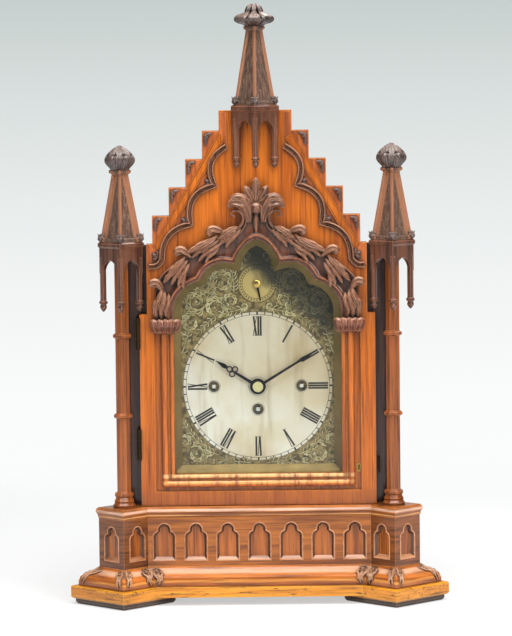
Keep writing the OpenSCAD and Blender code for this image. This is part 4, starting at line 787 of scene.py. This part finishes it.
def around_dial(x, r, turn):
    """Where a point x to the right and r out from the dial's centre goes at a clockwise turn."""
    a = radians(turn)
    return (x * cos(a) + r * sin(a), DIAL_Z - x * sin(a) + r * cos(a))


def stroke(shape, a, b, wide, turn):
    """One engraved stroke from a to b, each x and distance from the dial's centre."""
    (ax, ar), (bx, br) = a, b
    half = wide / 2
    outline = [(ax - half, ar), (ax + half, ar), (bx + half, br), (bx - half, br)]
    shape.prism([around_dial(x, r, turn) for x, r in outline], DIAL - 0.12, DIAL + 0.05)


def numerals():
    """Twelve slim Roman hour numerals with their feet to the centre."""
    shape = Shape()
    thick, thin = 2.4, 0.95
    low, high = 66, 91.5
    for k, word in enumerate(HOURS):
        turn = 30 * k
        total = sum(NUMERAL_WIDTHS[c] for c in word)
        x = -total / 2
        for c in word:
            w = NUMERAL_WIDTHS[c]
            if c == "I":
                lines = ((w / 2, w / 2, thick),)
            elif c == "V":
                lines = ((w / 2 - 0.2, thick / 2, thick), (w / 2 + 0.4, w - 0.6, thin))
            else:
                lines = ((w - thick / 2, thick / 2, thick), (0.6, w - 0.6, thin))
            for foot, head, wide in lines:
                stroke(shape, (x + foot, low), (x + head, high), wide, turn)
            x += w
        for r in (low, high - 0.4):
            stroke(shape, (0, r), (0, r + 0.4), total, turn)
    shape.piece("numerals", black_wax, "case", "silvered")


def ring(shape, x, z, r, wide):
    """An engraved circle around x, z."""
    section = ((-wide / 2, -0.1), (wide / 2, -0.1), (wide / 2, 0.05), (-wide / 2, 0.05))
    turned(shape, x, z, DIAL, [(r + q, d) for q, d in section], 72)


def turned(shape, x, z, y, section, steps=36):
    """A ring turned around an axis along Y from (radius, depth)."""
    rows = []
    for k in range(steps + 1):
        a = 2 * pi * k / steps
        rows.append([Vector((x + r * sin(a), y + d, z + r * cos(a))) for r, d in section])
    shape.grid(rows, ends=False)


def minute_track():
    """The minute circle, the circles of the small dial and the rims of the winding holes."""
    shape = Shape()
    track_in, track_out = 93.6, 97.6
    for r in (track_in, track_out):
        ring(shape, 0, DIAL_Z, r, 0.55)
    for k in range(60):
        stroke(shape, (0, track_in), (0, track_out), 2.2 if k % 5 == 0 else 1.2, 6 * k)
    ring(shape, 0, DIAL_Z, 12.2, 0.35)
    for r, wide in ((25, 1.0), (23.6, 0.4), (19.4, 0.7)):
        ring(shape, 0, SMALL_Z, r, wide)
    for k in range(36):
        ring(shape, *polar(0, SMALL_Z, 21.5, radians(10 * k)), 0.5, 0.9)
    for x, z in WINDING:
        for r in (7.2, 8.4):
            ring(shape, x, DIAL_Z + z, r, 0.3)
    shape.piece("minute_track", black_wax, "case", "silvered")


def ribbon(shapes, line, width):
    """An engraved band along (x, z) points from the dial's centre: dark, with a bright band in its
    middle. width is a function of the share of the way along."""
    path = [Vector((x, 0, DIAL_Z + z)) for x, z in line]
    for shape, extra, lift in zip(shapes, (1.2, 0), (0.08, 0.14)):
        rows = []
        for i, p in enumerate(path):
            tangent = tangent_at(path, i)
            side = Vector((-tangent.z, 0, tangent.x)) * ((width(i / (len(path) - 1)) + extra) / 2)
            front, back = Vector((0, DIAL - lift, 0)), Vector((0, DIAL + 0.05, 0))
            rows.append([p - side + front, p + side + front, p + side + back, p - side + back])
        shape.grid(rows)


def swell(most, least=0.16):
    """The width of a line that is thickest at its middle."""
    return lambda t: least + (most - least) * sin(pi * min(1, max(0, t))) ** 0.7


def acanthus(shapes, x, z, r, start, hand, turns=1.25):
    """A scroll that winds in to a rosette, with curling leaves along its outer side."""
    def along(t):
        return radians(start + hand * 360 * turns * t), r * (1 - 0.8 * t)

    line = []
    for k in range(41):
        a, q = along(k / 40)
        line.append(polar(x, z, q, a))
    ribbon(shapes, line, lambda t: 0.35 + 0.13 * r * (1 - t) ** 0.7)
    for k in range(5):
        a = radians(72 * k)
        ribbon(shapes, [polar(x, z, q, a + 0.1 * q) for q in (0.1, 0.09 * r + 0.2, 0.17 * r + 0.3)],
               swell(0.1 * r))
    for k in range(8):
        t = 0.03 + 0.085 * k
        a, q = along(t)
        for bend, long, wide in ((0.75, 0.5, 0.17), (1.15, 0.3, 0.13)):
            line = [polar(x, z, q + r * long * sin(pi * 0.78 * s) * (1.1 - t), a + hand * bend * s ** 0.8)
                    for s in [j / 8 for j in range(9)]]
            ribbon(shapes, line, swell(wide * r))
    for k in range(4):
        a, q = along(0.1 + 0.14 * k)
        ribbon(shapes, [polar(x, z, q * (1 - 0.34 * s), a + hand * 0.8 * s) for s in (0, 0.35, 0.7, 1)],
               swell(0.09 * r))


def stem(shapes, points, leaves=7):
    """A curling stem with pairs of small leaves."""
    line = curve([Vector((x, z, 0)) for x, z in points], 26)
    ribbon(shapes, [(p.x, p.y) for p in line], lambda t: 1.1 - 0.6 * t)
    for k in range(leaves):
        i = 2 + int(22 * k / leaves)
        p, way = line[i], (line[i + 1] - line[i - 1]).normalized()
        for side in (-1, 1):
            across = Vector((-way.y, way.x, 0)) * side
            long = 6.4 - 2.4 * k / leaves
            tip = [p + way * (long * s) + across * (long * 0.85 * sin(pi * 0.66 * s))
                   for s in (0, 0.2, 0.4, 0.6, 0.8, 1)]
            ribbon(shapes, [(q.x, q.y) for q in tip], swell(1.25))


def arabesque():
    """Leaf scrolls over the whole dial outside the minute circle, the same on both sides."""
    shapes = Shape(), Shape()
    for scroll_form in (
            (55, 103, 13, 200, 1), (34, 112, 8.5, 160, -1), (79, 111, 12, 240, -1),
            (86, 84, 10, 330, 1), (45, 136, 13, 120, -1), (69, 133, 9, 90, 1),
            (97, 62, 6.5, 330, 1), (17, 104.5, 4.6, 120, 1), (29, 160, 8, 200, 1), (12, 170, 5, 200, -1),
            (81, -88, 11, 40, -1), (63, -97, 7.5, 330, 1), (97, -70, 6.5, 200, 1),
            (29, -104, 4.4, 330, -1), (98, -103, 6, 300, -1), (45, -103, 5.2, 20, 1)):
        acanthus(shapes, *scroll_form)
    stem(shapes, [(100, 40), (94, 56), (90, 72), (92, 90), (84, 100)])
    stem(shapes, [(14, 103), (28, 99), (42, 96), (54, 92), (64, 84), (74, 74), (83, 62)], 10)
    stem(shapes, [(66, 112), (62, 122), (54, 126), (56, 144), (44, 152)])
    stem(shapes, [(92, 104), (90, 120), (84, 128), (76, 138), (72, 146)])
    stem(shapes, [(30, 122), (30, 136), (31, 148), (24, 160)])
    stem(shapes, [(52, -90), (62, -86), (74, -78), (86, -64), (96, -50), (101, -34)], 9)
    stem(shapes, [(10, -101), (22, -99), (34, -98), (50, -92)], 6)
    stem(shapes, [(60, -106), (76, -106), (92, -108)], 5)
    for shape, name, material in zip(shapes, ("dial_arabesque", "dial_scrolls"), (engraved, scroll_gold)):
        shape.mirrored().piece(name, material, "case", "silvered")


def dial_fittings():
    """Turned rims in the winding holes, the small hand's boss and the collet of the hands."""
    shape = Shape()
    for x, z in WINDING:
        turned(shape, x, DIAL_Z + z, DIAL,
               [(5.25, 1.2), (5.25, -0.5), (5.9, -0.9), (6.9, -0.7), (7.2, 0.3), (6.8, 0.8)])
    shape.piece("winding_rims", dull_steel, "case", "steel")
    boss = Shape()
    turned(boss, 0, SMALL_Z, DIAL, [(0.1, -4.9), (2.6, -4.9), (4.6, -4.3), (5.4, -3.7), (5.4, -3.3),
                                    (4.4, -3.2), (4.4, -0.8), (0.1, -0.8)])
    boss.piece("small_boss", turned_brass, "silent_hand", "brass")
    front = min(box(name)[0].y for name in ("minute_hand", "centre_arbor"))
    collet = Shape()
    turned(collet, 0, DIAL_Z, front,
           [(0.1, -1.2), (2.4, -1.1), (5.4, -0.7), (6.8, 0), (6.8, 0.4), (0.1, 0.4)])
    # The collet's pale cream is a painted sheen.
    collet.piece("hand_collet", brass_painted_sheen, "minute_hand", "brass")


def outward(a):
    return Vector((sin(a), -cos(a), 0))


def around(shape, x, y, top, profile, count, width, depth, lobes, start=0.0):
    """Leaves around an upright axis, each rising along a profile of (radius, height)."""
    for k in range(count):
        out = outward(radians(start + 360 * k / count))
        spine = [Vector((x, y, top + z)) + out * r for r, z in profile]
        leaf(shape, spine, out, width, depth, lobes, 0.42, 1.5, 0.5, 22, 0.5)


def ledge_buds(name, body, x, y, base):
    """Four buds on the corners of a spire's ledge, each of leaves that curl out from a knop."""
    shape = Shape()
    for k in range(4):
        a = radians(90 * k)
        foot = Vector((x, y, base)) + outward(a) * 24.7
        for j in range(5):
            way = outward(a + radians(72 * j))
            spine = [foot + way * q + Vector((0, 0, h))
                     for q, h in ((1.4, 1), (3.6, 3.5), (2.8, 7), (4, 9.6), (5, 9.2))]
            leaf(shape, spine, way, 5, 1.8, 2, 0.5, 1.0, 0.6, 16, 0.5)
        ball(shape, foot + Vector((0, 0, 6)), 3.4)
    shape.piece(name, grey_carved, body, "grey_oak", 60)


def side_finials():
    """Leaves carved on the buds of the side spires, and the small buds on their ledges."""
    low, high = (corner.z for corner in box("turret_right"))
    profile = [(6.5, -31), (11.5, -27), (16.6, -21), (16.2, -15), (11.5, -9), (6, -4), (1.5, -0.3)]
    between = [(r * 0.93, z - 1.5) for r, z in profile[:5]]
    for x, hand in ((-TOWER_X, "left"), (TOWER_X, "right")):
        shape = Shape()
        around(shape, x, TOWER_Y, high, profile, 8, 12.5, 2.6, 4)
        around(shape, x, TOWER_Y, high, between, 8, 9, 2.4, 3, 22.5)
        shape.piece("finial_" + hand, grey_carved, "case", "grey_oak", 60)
        ledge_buds("ledge_buds_" + hand, "case", x, TOWER_Y, low)


def centre_finial():
    """The knob over the centre spire: a ring of drooping petals under a ribbed button."""
    shape = Shape()
    low, high = (corner.z for corner in box("centre_spire"))
    profile = [(10, -27), (15, -24.5), (21, -22.5), (24, -20.2), (22, -16.6), (15, -13.5), (9, -10)]
    around(shape, 0, CENTRE_Y, high, profile, 8, 17, 2.2, 0)
    around(shape, 0, CENTRE_Y, high, [(9.6, -15), (10.3, -9), (7, -3), (1.5, -0.3)], 8, 6.6, 1.8, 0)
    shape.piece("centre_cap", grey_carved, "front_door", "grey_oak", 60)
    ledge_buds("ledge_buds_centre", "front_door", 0, CENTRE_Y, low)


BASE_LOW, BASE_HIGH = (corner.z for corner in box("base_mouldings"))
BASE_TIP = TOWER_Y - box("base_mouldings")[0].y
BASE_FRONT = min(v.co.y for v in nodes["base_mouldings"].data.vertices if abs(v.co.x) < 0.139) / MM
# Section of the base moulding from its top down: how far it flares and how high it is, as shares
BASE_LINE = [(0, 1), (0.036, 0.92), (0.145, 0.83), (0.313, 0.75), (0.53, 0.667), (0.778, 0.583),
             (0.9, 0.5), (1, 0.25), (1, 0)]
FLARE, DIAMOND_FLARE, BASE_RISE = 20, 27.5, 24
SLOPE_OUT = Vector((0, 0, 0.8))


def down_base(s):
    """The share of flare and the height at s millimetres down the slope of the base moulding."""
    for (o1, h1), (o2, h2) in zip(BASE_LINE, BASE_LINE[1:]):
        step = hypot((o2 - o1) * FLARE, (h2 - h1) * BASE_RISE)
        if s <= step:
            return o1 + (o2 - o1) * s / step, h1 + (h2 - h1) * s / step
        s -= step
    return 1.0, 0.0


def base_face(corner, along, normal):
    """Points on one face of the base moulding from e along it and s down it."""
    def place(e, s, proud=0.0):
        flare, height = down_base(s)
        p = corner(flare) + along * e + (normal + SLOPE_OUT) * proud
        return Vector((p.x, p.y, BASE_LOW + (BASE_HIGH - BASE_LOW) * height + proud * 0.8))
    return place


def clasp(shape, place, out, volute, leaves, lift, depth):
    """A volute that winds in to a small eye, with leaves below it, on a face of the base."""
    e, s, r, start, hand = volute
    path = []
    for k in range(31):
        t = k / 30
        a = radians(start + hand * 560 * t)
        q = r * (1 - 0.8 * t)
        path.append(place(e + q * sin(a), s - q * cos(a), 0.5 + 0.8 * t))
    rod(shape, path, lambda t: (0.24 - 0.1 * t) * r, 10, out)
    ball(shape, place(e, s, 1.0), 0.22 * r)
    for line, wide in leaves:
        leaf(shape, [place(e, s, lift) for e, s in line], out, wide, depth, 4, 0.45, 1.5, 0.45, 20, 0.4)


def base_leaves():
    """Carved clasps of scrolls and leaves on the base moulding, at the diamonds' corners."""
    shape = Shape()
    middle = Vector((TOWER_X, TOWER_Y, 0))
    reach = BASE_TIP - DIAMOND_FLARE
    step = TOWER_Y - BASE_FRONT - FLARE
    for way in (FORWARD, Vector((1, 0, 0))):
        side = Vector((-way.y, way.x, 0))
        for hand in (-1, 1):
            along = (side * hand - way) * SLANT
            normal = (side * hand + way) * SLANT
            place = base_face(lambda f: middle + way * (reach + DIAMOND_FLARE * f), along, normal)
            clasp(shape, place, (normal + SLOPE_OUT).normalized(), (7.5, 8, 5, 180, hand),
                  (([(1.5, 1), (2.5, 8), (4, 15), (7, 22), (5, 30)], 5.5),
                   ([(12, 6), (12.5, 12), (11, 18), (12.5, 24)], 4),
                   ([(8, 13), (9.5, 19), (11, 26), (9, 32)], 4.5)), 0.4, 2.2)

    def inner(f):
        x = TOWER_X - (reach - step) - (DIAMOND_FLARE - FLARE) * f
        return Vector((x, TOWER_Y - step - FLARE * f, 0))

    for along, normal, hand in ((Vector((-1, 0, 0)), FORWARD, -1),
                                (Vector((1, -1, 0)) * SLANT, Vector((-1, -1, 0)) * SLANT, 1)):
        clasp(shape, base_face(inner, along, normal), (normal + SLOPE_OUT).normalized(),
              (8.5, 8, 6.5, 190, hand),
              (([(1, 2), (1.5, 10), (3, 18), (6, 25), (4, 31)], 6),
               ([(15, 8), (14.5, 15), (11, 21), (12, 29)], 5),
               ([(8, 15), (8, 21), (8.5, 27), (6.5, 33)], 5)), 0.6, 2.6)
    shape.mirrored().piece("base_leaves", clasp_oak, "case", "dark_oak", 60)


def arch_line(w, h):
    """Outline of a blind arch with a trefoil head, from its left foot round to its right one."""
    neck = h - 0.62 * w
    lobe, head = 0.24 * w, 0.3 * w
    half = []
    for k in range(7):
        a = radians(90 * k / 6)
        half.append((-w / 2 + lobe - lobe * cos(a), neck + lobe * sin(a)))
    half = [(x, z) for x, z in half if x < -head]
    for k in range(9):
        a = radians(100 * k / 8 - 10)
        half.append((-head * cos(a), neck + head + head * sin(a)))
    side = [(-w / 2, 0), (-w / 2, neck / 2)] + half
    return side + [(-x, z) for x, z in reversed(side[:-1])]


def blind_arches():
    """The foot, direction along the face, direction out, width and height of every blind arch."""
    corner = box("frieze")[0]
    between_pedestals = 289
    arches = []
    for k in range(7):
        foot = Vector(((k - 3) * between_pedestals / 7, corner.y, corner.z + 7))
        arches.append((foot, Vector((1, 0, 0)), FORWARD, 29.6, 50))
    for tower in (-TOWER_X, TOWER_X):
        for turn in (-1, 1):
            normal = Vector((turn, -1, 0)) * SLANT
            foot = Vector((tower, TOWER_Y, corner.z + 9)) + normal * (33.5 * SLANT)
            arches.append((foot, Vector((1, turn, 0)) * SLANT, normal, 27.24, 46))
    return arches


def niches():
    """Chamfered reveals, raised lips with sloped sills and upright-grained panels of the blind arches."""
    reveals, lips, panels = Shape(), Shape(), Shape()
    for foot, across, normal, w, h in blind_arches():
        line = arch_line(w, h)
        n = len(line)

        def at(x, z, depth):
            return foot + across * x + Vector((0, 0, z)) - normal * depth

        lip_rows, rows, bead = [], [], []
        for i, (x, z) in enumerate(line):
            a, b = line[(i - 1) % n], line[(i + 1) % n]
            run = Vector((b[0] - a[0], b[1] - a[1])).normalized()
            inward = Vector((run.y, -run.x))
            if i in (0, n - 1):
                inward = Vector((1 if i == 0 else -1, 1))
            lip_rows.append([at(x + inward.x * q, z + inward.y * q, d) for q, d in
                             ((-0.7, -0.1), (-0.2, -0.6), (0.6, -0.6), (1.1, 0.2), (1.1, 2))])
            rows.append([at(x + inward.x * q, z + inward.y * q, d) for q, d in
                         ((0.6, 0.1), (1.5, 0.5), (2.2, 2.2), (3.9, 4.2), (3.9, 4.9), (0.6, 4.9))])
            bead.append(at(x + inward.x * 3.6, z + inward.y * 3.6, 0))
        reveals.grid(rows + rows[:1], ends=False)
        lips.grid(lip_rows + lip_rows[:1], ends=False)
        panels.grid([[p - normal * d for p in bead] for d in (4.1, 4.9)])
        sill = ((0.9, 0.7, -0.5), (1.2, 1.4, -0.3), (4.2, 5.2, 4.0), (1.2, 0.8, 4.0))
        lips.grid([[at(side * (w / 2 - x), z, d) for x, z, d in sill] for side in (-1, 1)])
    # The reveals are coloured with painted shade, the lips and sills with a painted highlight.
    reveals.piece("niche_reveals", reveal_shade_oak, "case", "oak", 40)
    lips.piece("niche_lips", lip_highlight_oak, "case", "oak", 40)
    panels.piece("niche_panels", panel_oak, "case", "oak", 40)


def winding_squares():
    """The square ends of the three fusees in the winding holes, near-white as a painted glint."""
    for (x, z), train in zip(WINDING, ("strike", "chime", "going")):
        shape = Shape()
        z += DIAL_Z
        outline = [(x + a * 2.3, z + b * 2.3) for a, b in ((-1, -1), (1, -1), (1, 1), (-1, 1))]
        shape.prism(outline, DIAL - 0.4, DIAL + 6)
        shape.piece("winding_square_" + train, steel_painted_glint, train + "_fusee", "steel")


EYE_Z = 0.73
EYE_Y = -4.49  # the camera's place, rounded, for the backdrop's colours
WALL_Y = 1.6  # where an upright wall would show the same colours as the backdrop


def pixel_camera():
    """The photograph's camera: far off, a little above the middle and turned by half a degree."""
    focal_px, height_px = 3427.0, 636.0
    data = bpy.data.cameras.new("camera")
    data.sensor_width = 36
    data.lens = focal_px / height_px * data.sensor_width
    data.clip_end = 100
    camera = new_object("camera", data)
    camera.location = (-0.0015, FRONT * MM - 4.42, EYE_Z)
    pitch, roll = radians(4.655), radians(-0.62)
    camera.rotation_euler = (Matrix.Rotation(radians(90) - pitch, 3, "X")
                             @ Matrix.Rotation(roll, 3, "Z")).to_euler()
    bpy.context.scene.camera = camera


def lamp(name, place, target, size, power):
    data = bpy.data.lights.new(name, "AREA")
    data.shape = "RECTANGLE"
    data.size, data.size_y = size
    data.energy = power
    o = new_object(name, data)
    o.location = place
    o.rotation_euler = (Vector(target) - Vector(place)).to_track_quat("-Z", "Y").to_euler()


def white_world():
    """Dim even light on the object, and pale grey where the background itself is seen."""
    t = Tree("studio", bpy.data.worlds)
    path = t.add("LightPath")
    light = t.add("Background", {"Color": (1, 1, 1, 1), "Strength": 0.18})
    seen = t.add("Background", {"Color": linear(243, 244, 244), "Strength": 1.0})
    ray = t.math("MAXIMUM", path.outputs["Is Camera Ray"], path.outputs["Is Transmission Ray"])
    bpy.context.scene.world = t.blend(ray, light, seen)


def backdrop_paper():
    """White paper that takes shadows, and shows the photograph's grey to white above the floor."""
    t = Tree("studio_paper")
    path = t.add("LightPath").outputs
    _, y, z = t.split(t.place())
    rise = t.math("DIVIDE", t.minus(z, EYE_Z), t.minus(y, EYE_Y))
    z = t.scaled(rise, WALL_Y - EYE_Y, EYE_Z)
    climb = t.math("POWER", t.times(z, 1.2, clamp=True), 1.6)
    shown = t.add("Emission", {"Color": t.mix(climb, (251, 252, 252), (194, 204, 202)),
                               "Strength": 1.0})
    paper = t.add("BsdfDiffuse", {"Color": (0.82, 0.82, 0.82, 1)})
    ray = t.math("MAXIMUM", path["Is Camera Ray"], path["Is Transmission Ray"])
    ray = t.math("MAXIMUM", ray, t.times(path["Is Glossy Ray"], 0.6))
    share = t.times(ray, t.scaled(t.ramp(z, -0.14, -0.03), 0.45, 0.55))
    return t.blend(share, paper, shown)


def studio():
    """A pale floor that bends up into a backdrop far behind, and soft lamps above and to the right."""
    near, far, high, wide, bend = -14.0, 15.0, 6.0, 15.0, 1.2
    line = [(near, 0.0), (far - bend, 0.0)]
    for i in range(1, 13):
        a = pi / 24 * i
        line.append((far - bend + bend * sin(a), bend - bend * cos(a)))
    line.append((far, high))
    points = [(x, y, z) for y, z in line for x in (-wide, wide)]
    faces = [(2 * i, 2 * i + 1, 2 * i + 3, 2 * i + 2) for i in range(len(line) - 1)]
    new_mesh("backdrop", points, faces, backdrop_paper())
    lamp("overhead", (0.1, -0.9, 2.3), (0, -0.6, 0), (2.2, 2.2), 92)
    lamp("left", (-2.4, -2.0, 1.0), (0, 0, 0.35), (0.7, 1.5), 3)
    lamp("right", (1.7, -2.7, 1.3), (0, 0, 0.35), (0.9, 1.5), 34)
    lamp("back", (0.5, 1.2, 1.9), (0, 0, 0.3), (1.0, 0.6), 10)


hood()
crockets()
palmette()
corbel_leaves()
gable()
gable_leaves()
numerals()
minute_track()
arabesque()
dial_fittings()
side_finials()
centre_finial()
base_leaves()
niches()
winding_squares()
pixel_camera()
white_world()
studio()
bpy.context.scene.view_settings.view_transform = "Standard"
